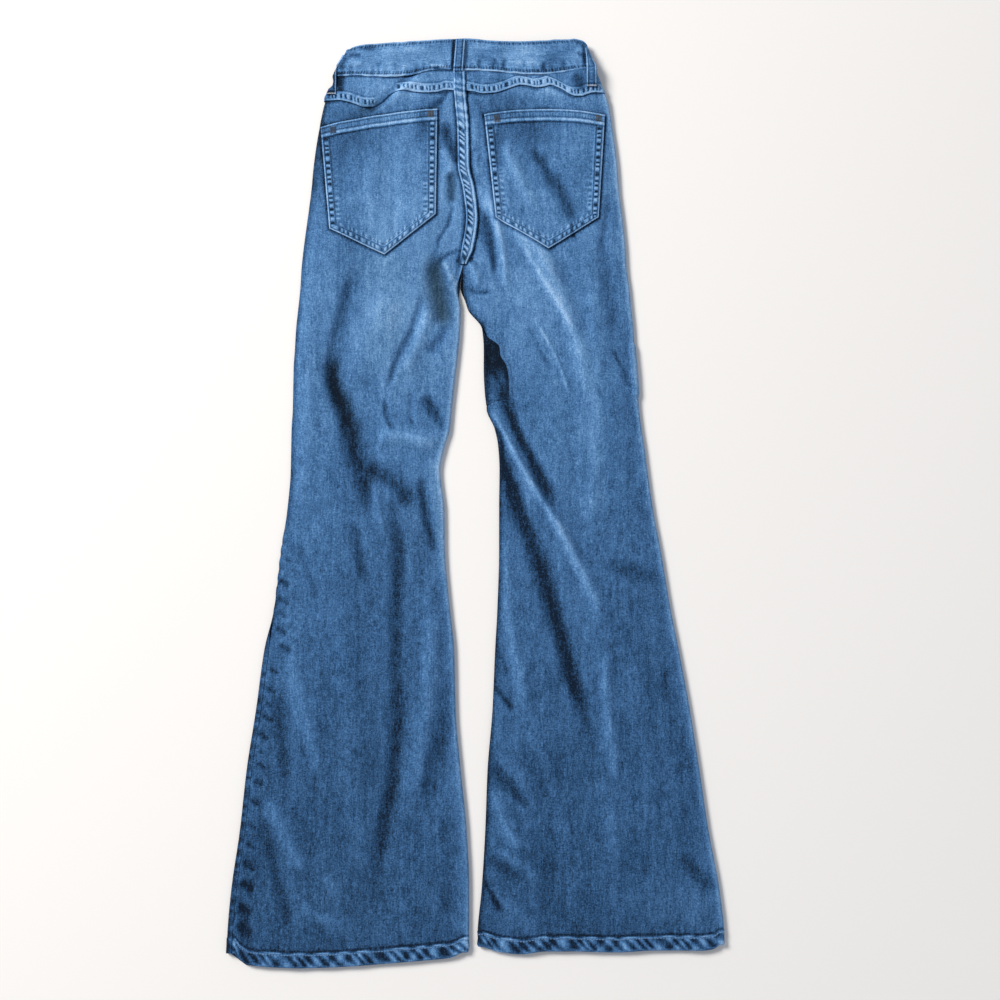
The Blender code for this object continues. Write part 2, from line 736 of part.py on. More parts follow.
def make_left_loop(material):
    # Hangs over the folded left end of the waistband and the side seam below it.
    out = LOOP_CLOTH + 0.9
    rows = []
    for index in range(LOOP_ROWS + 1):
        y = mix(*LEFT_LOOP_ENDS, index / LOOP_ROWS)
        band_x = mix(BAND_LEFT[0], BAND_LEFT[1], (y - 498.0) / 33.0) - 0.4
        leg_x = along(SECTIONS, y, "left_outer") - 1.2
        edge_x = mix(leg_x, band_x, smooth((y - 485.0) / 14.0))
        row = []
        for turn in (112.0, 135.0, 158.0, 180.0):
            angle = math.radians(turn)
            row.append((edge_x + BAND_RADIUS - (BAND_RADIUS + out) * math.sin(angle), y,
                        BAND_LIFT + BAND_RADIUS - (BAND_RADIUS + out) * math.cos(angle)))
        last = row[-1]
        row.append((last[0] + 5.0, y, last[2]))
        rows.append(row)
    return make_strip("belt_loop_left", rows, LOOP_CLOTH, material)


def make_right_loop(material):
    # Its outer edge bends down towards the folded end.
    rows = []
    half = LOOP_WIDTH / 2.0
    inner, bend, outer = RIGHT_LOOP_X - half, RIGHT_LOOP_X + half * 0.3, RIGHT_LOOP_X + half
    for index in range(LOOP_ROWS + 1):
        share = index / LOOP_ROWS
        y = mix(*RIGHT_LOOP_ENDS, share)
        arch = 2.2 + 0.7 * math.sin(math.pi * share)
        z = BAND_LIFT + 2.0 * BAND_RADIUS + LOOP_CLOTH + arch
        rows.append([(inner, y, z), (bend, y, z), (outer, y, z - 0.7)])
    return make_strip("belt_loop_right", rows, LOOP_CLOTH, material)


def make_front_loop(name, centre, material):
    # Under the front of the waistband, pressed flat by it.
    bpy.ops.mesh.primitive_cube_add(size=1.0)
    item = bpy.context.active_object
    bpy.context.collection.objects.unlink(item)
    mesh = item.data
    mesh.name = name
    low = front_band_edge(centre, FRONT_BAND_BOTTOM, FRONT_DIP) - 1.0
    high = front_band_edge(centre, FRONT_BAND_TOP, 1.0) - 1.0
    tall = BAND_LIFT - GAP
    for vertex in mesh.vertices:
        across_loop, along_loop, up = vertex.co
        vertex.co = metres(centre + across_loop * LOOP_WIDTH, mix(low, high, along_loop + 0.5),
                           (up + 0.5) * tall)
    bpy.data.objects.remove(item)
    loop = add_object(name, mesh, material)
    bevel = loop.modifiers.new("Round", "BEVEL")
    bevel.width = 0.5 * MM
    bevel.segments = 2
    return loop


def make_button(material):
    # Waist button, seen from below: a turned disc with a rolled rim.
    mesh = bpy.data.meshes.new("waist_button")
    points = [(BUTTON_RADIUS * turn.reach * MM, 0.0, BUTTON_TALL * turn.rise * MM)
              for turn in BUTTON_PROFILE]
    mesh.from_pydata(points, [(i, i + 1) for i in range(len(points) - 1)], [])
    button = add_object("waist_button", mesh, material)
    button.location = metres(FLY_X, BUTTON_Y, 0.0)
    screw = button.modifiers.new("Turn", "SCREW")
    screw.axis = "Z"
    screw.steps = 28
    screw.render_steps = 28
    screw.use_merge_vertices = True
    screw.merge_threshold = 0.00001
    screw.use_normal_calculate = True
    return button


def clear_scene():
    for item in list(bpy.data.objects):
        bpy.data.objects.remove(item)
    collection = bpy.data.collections.new(COLLECTION)
    bpy.context.scene.collection.children.link(collection)


def main():
    clear_scene()
    denim = make_material("denim", DENIM, 0.85)
    pale = make_material("denim_pale", DENIM_PALE, 0.85)
    seam = make_material("denim_seam", DENIM_SEAM, 0.85)
    brass = make_material("antique_brass", BRASS, 0.38, 1.0)
    for side in SIDES:
        make_leg_back(side, denim)
        make_leg_front(side, denim)
        make_yoke(side, pale)
    for pocket in POCKETS:
        make_pocket(pocket, pale)
    make_seat_seam(seam)
    make_waistband(pale)
    make_back_loop(seam)
    make_left_loop(seam)
    make_right_loop(seam)
    for name, centre in FRONT_LOOPS:
        make_front_loop("belt_loop_front_" + name, centre, seam)
    make_button(brass)


main()
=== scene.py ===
import math

import bpy
import numpy as np
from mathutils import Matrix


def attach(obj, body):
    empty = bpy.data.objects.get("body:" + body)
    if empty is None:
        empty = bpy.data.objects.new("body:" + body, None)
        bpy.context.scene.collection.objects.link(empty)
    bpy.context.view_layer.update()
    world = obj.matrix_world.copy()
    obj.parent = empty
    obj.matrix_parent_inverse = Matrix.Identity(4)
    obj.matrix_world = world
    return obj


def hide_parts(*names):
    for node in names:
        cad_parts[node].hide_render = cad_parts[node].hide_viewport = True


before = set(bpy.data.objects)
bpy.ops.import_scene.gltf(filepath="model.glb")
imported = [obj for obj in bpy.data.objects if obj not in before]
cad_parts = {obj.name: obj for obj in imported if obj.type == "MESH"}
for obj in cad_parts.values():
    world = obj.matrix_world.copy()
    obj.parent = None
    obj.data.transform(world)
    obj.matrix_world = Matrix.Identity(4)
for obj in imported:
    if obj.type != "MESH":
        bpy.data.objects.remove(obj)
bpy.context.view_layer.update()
print("frame: loaded", len(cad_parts), "solids")

# Places and sizes are in millimetres from the middle of the waist, as a maker would draw the
# jeans: x towards the wearer's right, y from the hems to the waist, z up. They turn to metres
# from the middle of the outline where a mesh is made. Left and right are the wearer's.
centre = (2.45, -0.94)
sides = {"left": 1, "right": -1}      # which way is inward along x

body = {
    "wall": 1.2,            # one layer of denim
    "hemWall": 2.2,
    "hemDepth": 16.0,
    "gap": 0.3,
    "foldRadius": 3.0,      # of the folded sides of the legs
    "ease": 26.0,           # over which the top rises from a folded side
    "bandLift": 2.4,        # room under the waistband for the front loops and the button
    "liftStart": 425.0,
    "liftEnd": 482.0,
    "crotchTop": 247.0,     # the back panels are joined above it
    "crotchEnd": 226.0,     # each leg is a tube of its own below it
    "seatGap": 0.7,
    "sideGap": 0.6,
    "foldGap": 1.3,
}

# Outline of both legs; above the crotch the inner columns are the seat seam.
outline = {
    "y": (-548, -506, -462, -397, -330, -263, -195, -149, -80, -34, 13, 40, 61, 84, 132, 156, 181,
          205, 229, 254, 278, 314, 351, 379, 427, 462, 474, 481, 498),
    "leftOuter": (-275, -274, -271, -263, -257, -248, -240, -230, -223, -217, -214, -214, -214, -213,
                  -213, -212, -211, -209, -207, -206, -204, -200, -196, -194, -188, -181, -177, -171,
                  -168),
    "leftInner": (-7, -5, -5, -8, -15, -21, -23, -28, -34, -35, -40, -35, -29, -27, -22, -19.5, -17.5,
                  -17, -21, -15.5, -9, -4, -8, -14, -15, -18, -19, -19, -20),
    "rightInner": (5, 4, 8, 12, 14.5, 20, 23, 25.5, 27.5, 27.5, 28, 26.5, 22.5, 13, 9.5, 9.5, 7.5, -9.5,
                   -15, -15.5, -9, -4, -8, -14, -15, -18, -19, -19, -20),
    "rightOuter": (278, 278, 274, 263, 254, 244.5, 233, 224.5, 214, 206, 200, 197, 194, 191.5, 189,
                   187, 186, 184, 182, 179, 178, 175, 171, 169.5, 164, 158.5, 153, 150, 145.5),
    "fullness": (5.6, 5.6, 5.6, 5.8, 6.0, 6.0, 6.2, 6.4, 6.6, 6.8, 7.2, 7.4, 7.4, 7.4, 7.2, 7.2, 7.2,
                 7.4, 7.8, 8.4, 8.8, 9.2, 9.4, 9.2, 8.6, 8.0, 7.9, 7.8, 7.6),
}

# Where the side seams lie: the run of skin from where the underside begins to curl, round the
# folded side. Below zero a seam is underneath, past a half turn it is on top.
seams = {
    "y": (-548, -205, -165, -130, -100, 20, 80, 90, 99, 122, 136, 149, 159, 172, 190, 228, 510),
    "leftOuter": (13, 12.5, 8, 2, -2, -2, -2, -2, -2, -2, -2, -2, -2, -2, -2, -2, -2),
    "leftInner": (-2, -2, -2, -2, -2, -2, -2, -2, -2, -2, -2, -2, -2, -1, 1.5, 4.4, 4.4),
    "rightInner": (-2, -2, -2, -2, -2, -2, -2, 10, 34, 35.5, 33, 26, 25, 10.5, 6, 4.4, 4.4),
    "rightOuter": (-2, -2, -2, -2, -2, -2, -2, -2, -2, -2, -2, -2, -2, -2, -2, -2, -2),
}

# Lines across the top of the garment.
waist = {
    "x": (-186, -172, -160, -148, -138, -129, -119, -108, -97, -90, -79, -66, -54, -40, -29, -11, 3, 16,
          28, 39, 50, 60, 70, 79, 87, 96, 104, 112, 118, 126, 134, 142, 152),
    "yokeSeam": (466, 466, 466, 464, 461, 458, 458, 463, 473, 477, 478, 476, 475, 476, 479, 477, 474,
                 475, 478, 482, 485, 484, 482, 483, 485, 482, 478, 473, 471, 471, 474, 476, 476),
    "bandBottom": (491, 491, 492, 492, 492, 491, 491, 490, 490, 491, 492, 495, 498, 499, 499, 498, 498,
                   497, 496, 495, 494, 493, 493, 493, 494, 495, 496, 497, 498, 499, 500, 501, 501),
    "bandTop": (515, 515, 519.5, 528.5, 531, 532, 532.5, 533, 534, 534, 535, 535.5, 536.5, 537.5,
                537.5, 538.5, 537.5, 536, 535, 535, 535, 535, 535.5, 536, 536.5, 538, 538, 538, 539,
                537.5, 533, 525, 516),
}

# Lower edges of the hems, by share of the width from the outer to the inner side.
hems = {
    "share": (0.0, 0.02, 0.07, 0.28, 0.43, 0.62, 0.74, 0.84, 0.94, 1.0),
    "left": (-530, -537, -543, -546, -545, -542, -539.5, -537.5, -535, -529),
    "right": (-521, -525, -527, -527, -529, -528, -528, -531, -528, -523),
}

# Creases of the upper layer: a path down the cloth, half its width (or that at its start, middle and end),
# its height, below zero for a trough, its lean, which widens the flank on the left of the path, and how
# much paler it is. The paleness is partly wear and partly painted shade in the troughs and painted
# highlight on the crests; rows of no height only paint a darker line.
creases = (
    # left: outer leg and the long trough
    (((-139, 261), (-149, 227), (-158, 193), (-166, 162), (-167, 135), (-161, 105)), 9, -3.2, 0.3, -0.15),
    (((-167, 166), (-169, 133), (-162, 105), (-151, 82), (-143, 59), (-138, 36), (-132, 12),
      (-125, -16), (-118, -51)), (8, 13, 11), -4.6, 0.1, -0.36),
    (((-170, 152), (-171, 121), (-162, 92), (-152, 59), (-151, 26), (-142, -4)),
      (5, 8, 8), 0, 0.2, -0.16),
    (((-200, 251), (-201, 166), (-199, 95), (-203, 12), (-206, -58)), 14, 2.4, 0, 0.03),
    (((-108, 229), (-114, 195), (-126, 159), (-127, 114)), 17, 3.0, 0.2, 0.05),
    # left: inner thigh
    (((-61, 227), (-67, 205), (-75, 178), (-88, 151), (-98, 123), (-103, 104)),
      (4, 4, 3), -2.0, 0.1, -0.15),
    (((-50, 215), (-59, 183), (-72, 152), (-85, 121)), 7, 2.2, 0, 0.05),
    (((-50, 276), (-48, 246), (-44, 222), (-39, 200), (-34, 176)), (8, 13, 9), -5.0, 0, -0.12),
    (((-37, 261), (-35, 234), (-30, 207), (-27, 186)), (3, 4, 4), -1.2, 0, -0.10),
    (((-31, 188), (-43, 166), (-56, 148)), 6, -2.4, 0, -0.17),
    (((-37, 263), (-32, 250), (-26, 235)), 3, 1.8, 0, 0.18),
    (((-16, 266), (-19, 251), (-21, 234)), 4, -1.4, 0, -0.30),
    (((-15, 278), (-27, 272), (-38, 266), (-45, 258)), 2.2, -1.4, 0, -0.22),
    (((-28, 337), (-28, 320), (-34, 303), (-42, 290), (-45, 271)), (3, 2.2, 2), -1.4, 0, -0.20),
    (((-29, 374), (-28, 352), (-27, 330)), 5, -3.0, 0, -0.14),
    (((-39, 404), (-33, 384), (-27, 364)), 7, 2.4, 0, 0.12),
    (((-36, 439), (-33, 417), (-25, 397), (-18, 377)), (6, 7, 4), -2.8, 0, -0.26),
    # left: knee
    (((-106, 99), (-104, 78), (-95, 56)), (2.5, 3.4, 2.5), -1.8, 0.3, -0.18),
    (((-75, 109), (-75, 85), (-72, 59)), (4, 4, 2.5), -1.6, 0, -0.14),
    (((-60, 104), (-48, 83), (-31, 52)), (6, 8, 4), -3.0, -0.2, -0.24),
    (((-117, 51), (-92, 52), (-64, 47), (-31, 43)), 9, 3.6, 0, 0.05),
    (((-131, 17), (-108, 7), (-87, -11), (-76, -39)), (7, 12, 10), -3.0, 0.2, -0.28),
    (((-101, -4), (-92, -42), (-87, -93), (-89, -150), (-89, -207), (-88, -263), (-89, -319),
      (-97, -376), (-106, -429), (-117, -481)), (7, 9, 8), -3.4, 0, -0.20),
    (((-65, 10), (-59, -23), (-52, -58), (-43, -93)), 4.5, -2.4, 0, -0.22),
    (((-55, 33), (-47, -7), (-40, -58), (-34, -127)), 7, 2.4, 0, 0.08),
    (((-118, 0), (-112, -29), (-103, -75)), 5, 2.0, 0, 0.06),
    (((-142, -44), (-134, -79), (-124, -127)), (5, 7, 5), -2.0, 0, -0.15),
    # left: flare
    (((-51, -127), (-49, -207), (-60, -297), (-75, -396)), 12, 3.2, 0, 0.08),
    (((-24, -207), (-30, -274), (-45, -328), (-54, -385)), 9, -2.8, 0, -0.13),
    (((-29, -363), (-25, -429), (-31, -504)), 10, -1.8, 0, -0.06),
    (((-234, -352), (-208, -409), (-184, -448)), 10, 3.2, 0, 0.10),
    (((-239, -376), (-229, -418), (-216, -461), (-200, -513)), (6, 7, 5), -2.2, 0, -0.13),
    (((-223, -241), (-218, -291), (-209, -354)), 7, -2.0, 0, -0.13),
    (((-213, -173), (-200, -241), (-184, -297), (-171, -346)), 9, 2.0, 0, 0.06),
    (((-180, -88), (-153, -184), (-138, -297), (-136, -413)), 16, 2.4, 0, 0.03),
    (((-261, -474), (-253, -504), (-248, -526)), 6, -1.5, 0, -0.10),
    (((-203, -67), (-192, -99), (-177, -145)), 5, -1.2, 0, -0.06),
    (((-165, -440), (-149, -478), (-135, -521)), 9, 2.0, 0, 0.03),
    (((-193, -476), (-171, -493), (-142, -502)), 7, 1.4, 0, 0.10),
    # right: thigh
    (((29, 315), (50, 298), (77, 271), (96, 232), (110, 198), (120, 164), (129, 119),
      (135, 71)), (6, 12, 10), 3.6, 0, 0.17),
    (((43, 295), (62, 271), (79, 241), (95, 215), (107, 195), (116, 171)), (2.4, 4.2, 3), 1.2, 0, 0.20),
    (((98, 266), (118, 215), (132, 154)), 12, -1.8, 0, -0.05),
    (((65, 200), (83, 169), (95, 145), (106, 114), (111, 92)), (1.8, 2.2, 1.8), 1.0, 0, 0.17),
    (((61, 188), (77, 154), (93, 122)), 3, -0.9, 0, -0.06),
    (((8, 330), (14, 310), (18, 288), (22, 263), (23, 237)), (4, 5, 3), -2.8, 0, -0.28),
    (((10, 354), (19, 330), (28, 298), (34, 261), (37, 215)), (7, 5, 4), 2.6, 0, 0.12),
    (((-1, 341), (3, 318), (10, 294), (17, 271)), (5, 8, 4), -0.8, 0, -0.18),
    (((-8, 263), (1, 245), (2, 229)), 4, 2.2, 0, 0.12),
    (((-12, 229), (3, 224), (22, 224)), 2.4, -1.6, 0, -0.22),
    (((159, 349), (155, 310), (150, 273)), 4.5, -2.0, 0, -0.12),
    (((147, 298), (156, 234), (167, 162)), (8, 10, 7), -2.4, 0, -0.10),
    (((161, 157), (169, 140), (183, 116)), 3, -1.6, 0, -0.15),
    (((169, 128), (181, 114), (192, 104)), 2.6, -1.2, 0, -0.11),
    (((135, 239), (142, 166), (146, 95)), 9, 1.8, 0, 0.03),
    # right: the turned-back edge and the long valley
    (((25, 119), (35, 97), (41, 78), (50, 56), (66, 24), (82, -9), (96, -49)), (8, 6, 9), -3.4, 0, -0.42),
    (((24, 69), (29, 47), (31, 26), (32, -4)), (3, 5, 5), -0.6, 0, -0.42),
    (((8, 98), (22, 77), (36, 51), (52, 20), (69, -9), (88, -40), (107, -74), (125, -111),
      (140, -148), (147, -195)), (2.4, 5, 9), 4.2, 0, 0.16),
    (((147, -184), (150, -241), (154, -291), (162, -354)), 8, 3.0, 0, 0.09),
    (((28, 52), (34, 19), (43, -11), (52, -39), (64, -69), (76, -102), (88, -141), (100, -184),
      (112, -229), (125, -267), (138, -310)), (6, 12, 6), -4.6, 0, -0.36),
    (((32, 26), (42, -7), (54, -39), (68, -74)), (4, 8, 6), -1.2, 0, -0.14),
    (((32, -30), (34, -104), (38, -161), (52, -229), (62, -281)), 9, 2.6, 0, 0.08),
    # right: flare
    (((22, -150), (19, -195), (14, -252), (12, -302)), (3, 5, 3), 0, 0, -0.30),
    (((28, -200), (34, -211), (39, -227)), 3, -1.3, 0, -0.12),
    (((22, -235), (32, -248), (46, -265)), 3, -2.0, 0, -0.24),
    (((19, -319), (31, -337), (49, -357), (64, -376)), (6, 8, 5), -2.4, 0, -0.18),
    (((26, -418), (51, -433), (80, -456)), 6, 1.8, 0, 0.10),
    (((13, -427), (29, -435), (54, -453)), 6, -1.8, 0, -0.10),
    (((10, -448), (21, -469), (33, -489)), 3, -2.4, 0, -0.28),
    (((17, -345), (33, -385), (55, -427)), 8, 3.0, 0, 0.11),
    (((18, -455), (42, -483), (74, -515)), 8, 1.8, 0, 0.05),
    (((151, -97), (178, -105), (217, -118)), 9, -1.8, 0, -0.10),
    (((140, 128), (142, 59), (139, 0), (130, -65)), 9, 1.4, 0, 0.07),
    (((230, -422), (252, -446), (276, -468)), 9, -2.4, 0, -0.12),
    (((96, -337), (103, -418), (118, -504)), 14, 2.0, 0, 0.03),
    (((175, -184), (189, -297), (201, -413)), 14, 2.2, 0, 0.03),
    (((52, -297), (79, -363), (96, -455)), 12, -1.8, 0, -0.05),
    (((148, -363), (158, -429), (164, -504)), 10, 1.6, 0, 0.02),
    (((211, -184), (228, -274), (242, -363)), 9, -1.6, 0, -0.05),
    # seat
    (((-7, 352), (-7, 327), (-10, 303), (-18, 280)), 3.6, 0, 0, -0.24),
    # painted shadows below the feet of the two side belt loops
    (((-162, 500), (-163, 483), (-162, 467)), (4, 6, 4), -0.8, 0, -0.46),
    (((118, 497), (125, 483), (127, 467)), (6, 9, 6), -0.6, 0, -0.44),
    (((-124, 447), (-110, 454), (-96, 467), (-77, 480), (-60, 490)), 5, 2.0, 0, 0.12),
    (((-144, 457), (-125, 451), (-109, 459), (-95, 477), (-79, 492), (-63, 500)),
      (4, 6, 4), -1.8, 0, -0.20),
    (((-67, 464), (-48, 458), (-36, 464)), 6, -0.8, 0, -0.08),
    (((-60, 449), (-47, 456), (-38, 464), (-31, 475)), (4, 3, 2), -1.8, 0, -0.22),
    # on the pockets
    (((57, 412), (79, 382), (98, 352), (112, 324), (117, 301)), (5, 10, 8), -2.4, 0, -0.32),
    (((33, 412), (43, 384), (56, 354), (72, 320)), (5, 9, 6), 2.2, 0, 0.17),
    (((25, 424), (28, 399), (29, 372)), 5, -1.0, 0, -0.14),
    (((114, 310), (116, 298), (117, 288)), 2.2, -1.0, 0, -0.24),
    (((-165, 412), (-158, 374), (-155, 331)), 8, -0.8, 0, -0.05),
    (((-5, 442), (-2, 419), (-3, 392)), 4.5, 1.6, 0, 0.10),
    (((3, 399), (0, 382), (5, 364)), 3.5, 1.5, 0, 0.08),
    (((0, 464), (7, 449), (12, 434)), 4, -1.2, 0, -0.10),
)

# Puckers down the left side seam: start, ways to the middle and to the end, reach, height and paleness,
# which darkens each pucker's trough as painted shade.
puckers = (
    (-221, -88, 5, -3, 12, -8, 3.0, -1.1, -0.20), (-225, -115, 7, -4, 14, -9, 3.3, -1.2, -0.22),
    (-226, -135, 7, -4, 15, -9, 3.3, -1.2, -0.22), (-226, -151, 5, -3, 11, -8, 2.7, -1.0, -0.18),
    (-227, -169, 6, -4, 14, -9, 3.3, -1.2, -0.22), (-223, -189, 7, -4, 16, -10, 3.9, -1.4, -0.24),
    (-233, -216, 5, -3, 12, -8, 3.0, -1.1, -0.20), (-236, -237, 5, -4, 12, -8, 3.0, -1.1, -0.20),
    (-238, -254, 4, -2, 10, -6, 2.4, -0.9, -0.16), (-241, -268, 7, -4, 14, -9, 3.3, -1.2, -0.22),
    (-245, -288, 6, -4, 14, -9, 3.3, -1.2, -0.22), (-244, -308, 4, -2, 8, -5, 2.1, -0.8, -0.14),
    (-247, -322, 6, -3, 13, -8, 3.0, -1.1, -0.20), (-250, -341, 6, -3, 13, -8, 3.3, -1.2, -0.22),
    (-253, -362, 6, -3, 13, -8, 3.0, -1.1, -0.20), (-254, -389, 4, -3, 10, -6, 2.4, -0.9, -0.16),
    (-257, -410, 6, -3, 12, -8, 3.0, -1.1, -0.20), (-260, -431, 8, -4, 17, -10, 4.2, -1.5, -0.24),
    (-262, -452, 8, -5, 18, -11, 4.5, -1.7, -0.24), (-264, -476, 7, -5, 17, -11, 4.2, -1.5, -0.24),
    (-266, -499, 9, -5, 20, -12, 4.8, -1.8, -0.24),
)
creases += tuple((((x, y), (x + x1, y + y1), (x + x2, y + y2)),
                  tuple(round(share * reach, 1) for share in (0.8, 1.0, 2 / 3)), height, 0, tone)
                 for x, y, x1, y1, x2, y2, reach, height, tone in puckers)


def smooth(share):
    share = np.clip(share, 0.0, 1.0)
    return share * share * (3.0 - 2.0 * share)


def swell(share):      # quarter wave from 0 to 1, steep at first
    return np.sin(np.pi / 2.0 * np.clip(share, 0.0, 1.0))


def bell(at, middle, reach):      # 1 at the middle, fading away on both sides
    return np.exp(-((at - middle) / reach) ** 2)


def stripes(at, rows):      # soft lines, each with its place, reach and amount
    return sum(amount * bell(at, place, reach) for place, reach, amount in rows)


def mix(start, end, share):
    return start + (end - start) * share


def window(at, low, high, soft):      # 1 between low and high, fading over soft
    return smooth((at - low + soft) / soft) * smooth((high + soft - at) / soft)


def along(table, name, at):      # a table's column between its rows, never overshooting them
    keys = np.array(next(iter(table.values())), float)
    values = np.array(table[name], float)
    slopes = np.diff(values) / np.diff(keys)
    before, after = slopes[:-1], slopes[1:]
    turning = before * after <= 0.0
    inside = np.where(turning, 0.0, 2.0 * before * after / np.where(turning, 1.0, before + after))
    tangents = np.concatenate([slopes[:1], inside, slopes[-1:]])
    at = np.clip(at, keys[0], keys[-1])
    row = np.clip(np.searchsorted(keys, at, side="right") - 1, 0, len(keys) - 2)
    step = keys[row + 1] - keys[row]
    t = (at - keys[row]) / step
    start, turn = values[row], values[row] - values[row + 1]
    bendIn, bendOut = tangents[row] * step, tangents[row + 1] * step
    curve = -3.0 * turn - 2.0 * bendIn - bendOut + t * (2.0 * turn + bendIn + bendOut)
    return start + bendIn * t + t * t * curve


def smoothPath(points):      # a curve through the points, in six pieces from one to the next
    points = np.array(points, float)
    ends = np.concatenate([[2.0 * points[0] - points[1]], points, [2.0 * points[-1] - points[-2]]])
    t = np.linspace(0.0, 1.0, 6, endpoint=False)[:, None]
    runs = [points[-1:]]
    for a, b, c, d in reversed(list(zip(ends[:-3], ends[1:-2], ends[2:-1], ends[3:]))):
        bend = (2.0 * a - 5.0 * b + 4.0 * c - d) * t + (3.0 * b - a - 3.0 * c + d) * t * t
        runs.insert(0, b + 0.5 * t * (c - a + bend))
    return np.concatenate(runs)


def nearPath(path, reach, lean, x, y, fade=0.22):      # 1 on the path, fading across it and at its ends
    reach = np.broadcast_to(np.array(reach, float), (3,))
    low, high = path.min(0) - 3.2 * reach.max(), path.max(0) + 3.2 * reach.max()
    near = (x > low[0]) & (x < high[0]) & (y > low[1]) & (y < high[1])
    amount = np.zeros(x.shape)
    if not near.any():
        return amount
    px, py = x[near], y[near]
    nearest, place, onLeft = np.full(px.shape, 1e9), np.zeros(px.shape), np.zeros(px.shape)
    for index in range(len(path) - 1):
        ax, ay = path[index]
        runX, runY = path[index + 1] - path[index]
        share = np.clip(((px - ax) * runX + (py - ay) * runY) / (runX ** 2 + runY ** 2), 0.0, 1.0)
        offX, offY = px - ax - runX * share, py - ay - runY * share
        off = np.hypot(offX, offY)
        closer = off < nearest
        nearest = np.where(closer, off, nearest)
        place = np.where(closer, (index + share) / (len(path) - 1), place)
        onLeft = np.where(closer, np.sign(runX * offY - runY * offX), onLeft)
    ends = smooth(place / fade) * smooth((1.0 - place) / fade) if fade else 1.0
    wide = np.interp(place, (0.0, 0.5, 1.0), reach) * (1.0 + lean * onLeft)
    amount[near] = ends * bell(nearest, 0.0, wide)
    return amount


def ripple(place, pitch, seed):      # a wave with uneven spacing, from -1 to 1
    slow = 1.3 * np.sin(2 * np.pi * place / (pitch * 4.3) + seed)
    slow += 0.9 * np.sin(2 * np.pi * place / (pitch * 2.7) + 2.1 * seed)
    return np.sin(2 * np.pi * place / pitch + slow)


def unevenness(x, y, seed, shortest, longest, height):
    # Soft swells of the cloth, whose crests run mostly along the leg.
    random, stretch, waves = np.random.default_rng(seed), 0.3, 24
    total = np.zeros(np.shape(x))
    for _ in range(waves):
        length, phase = random.uniform(shortest, longest), random.uniform(0.0, 2 * np.pi)
        turn = random.normal(0.0, 0.45)
        total += np.sin(2 * np.pi * (x * math.cos(turn) + y * stretch * math.sin(turn)) / length
                        + 0.6 * np.sin(y / (1.7 * length)) + phase)
    return total * height / math.sqrt(waves)


def lift(y):      # height of the underside above the surface
    return body["bandLift"] * smooth((y - body["liftStart"]) / (body["liftEnd"] - body["liftStart"]))


def flapped(y):      # 1 where the right leg's inner edge stands over its front panel
    return window(y, 104.0, 158.0, 8.0)


def parted(y):      # 0 where the back panels are joined, 1 where the legs are apart
    return smooth((body["crotchTop"] - y) / (body["crotchTop"] - body["crotchEnd"]))


def creased(x, y, rows=creases):      # rise and paleness that creases give
    rise, paler = np.zeros(x.shape), np.zeros(x.shape)
    for points, reach, height, lean, tone in rows:
        amount = nearPath(smoothPath(points), reach, lean, x, y)
        rise += height * amount
        paler += tone * amount
    return rise, paler


def topHeight(side, x, y):      # the upper skin, eased down to the folded sides
    inward, radius = sides[side], body["foldRadius"]
    fromOuter = (x - along(outline, side + "Outer", y)) * inward
    fromInner = (along(outline, side + "Inner", y) - x) * inward
    height = along(outline, "fullness", y) + unevenness(x, y, 3, 26.0, 90.0, 0.5)
    height = height + creased(x, y)[0]
    lowest = 2.0 * body["wall"] + body["gap"] + 0.4
    height = lowest + np.log1p(np.exp(height - lowest))
    ease = swell((fromOuter - radius) / body["ease"])
    ease = ease * (1.0 - parted(y) * (1.0 - swell((fromInner - radius) / body["ease"])))
    return lift(y) + mix(2.0 * radius, height, ease)


def seamHalves(side, which, y):      # runs at which the front panel ends and the back one starts
    seam = along(seams, side + which, y)
    halfTurn = math.pi * body["foldRadius"]
    inFold = smooth((seam + 2.0) / 2.0) * smooth((halfTurn + 2.0 - seam) / 2.0)
    half = (body["sideGap"] + body["foldGap"] * inFold) / 2.0
    return seam - half, seam + half


def curl(side, which, y, run, out):
    # x on a folded side at a run of skin, and z where the skin is still in the curl.
    radius, halfTurn = body["foldRadius"], math.pi * body["foldRadius"]
    inward = sides[side] if which == "Outer" else -sides[side]
    edge = along(outline, side + which, y)
    if which == "Inner":
        edge = edge + inward * body["seatGap"] / 2.0
    turn = np.clip(run, 0.0, halfTurn) / radius
    x = edge + inward * (radius - (radius + out) * np.sin(turn))
    x = np.where(run < 0.0, edge + inward * (radius - run), x)
    x = np.where(run > halfTurn, edge + inward * (radius + run - halfTurn), x)
    z = lift(y) + radius - (radius + out) * np.cos(turn)
    return x, z, run < halfTurn, edge


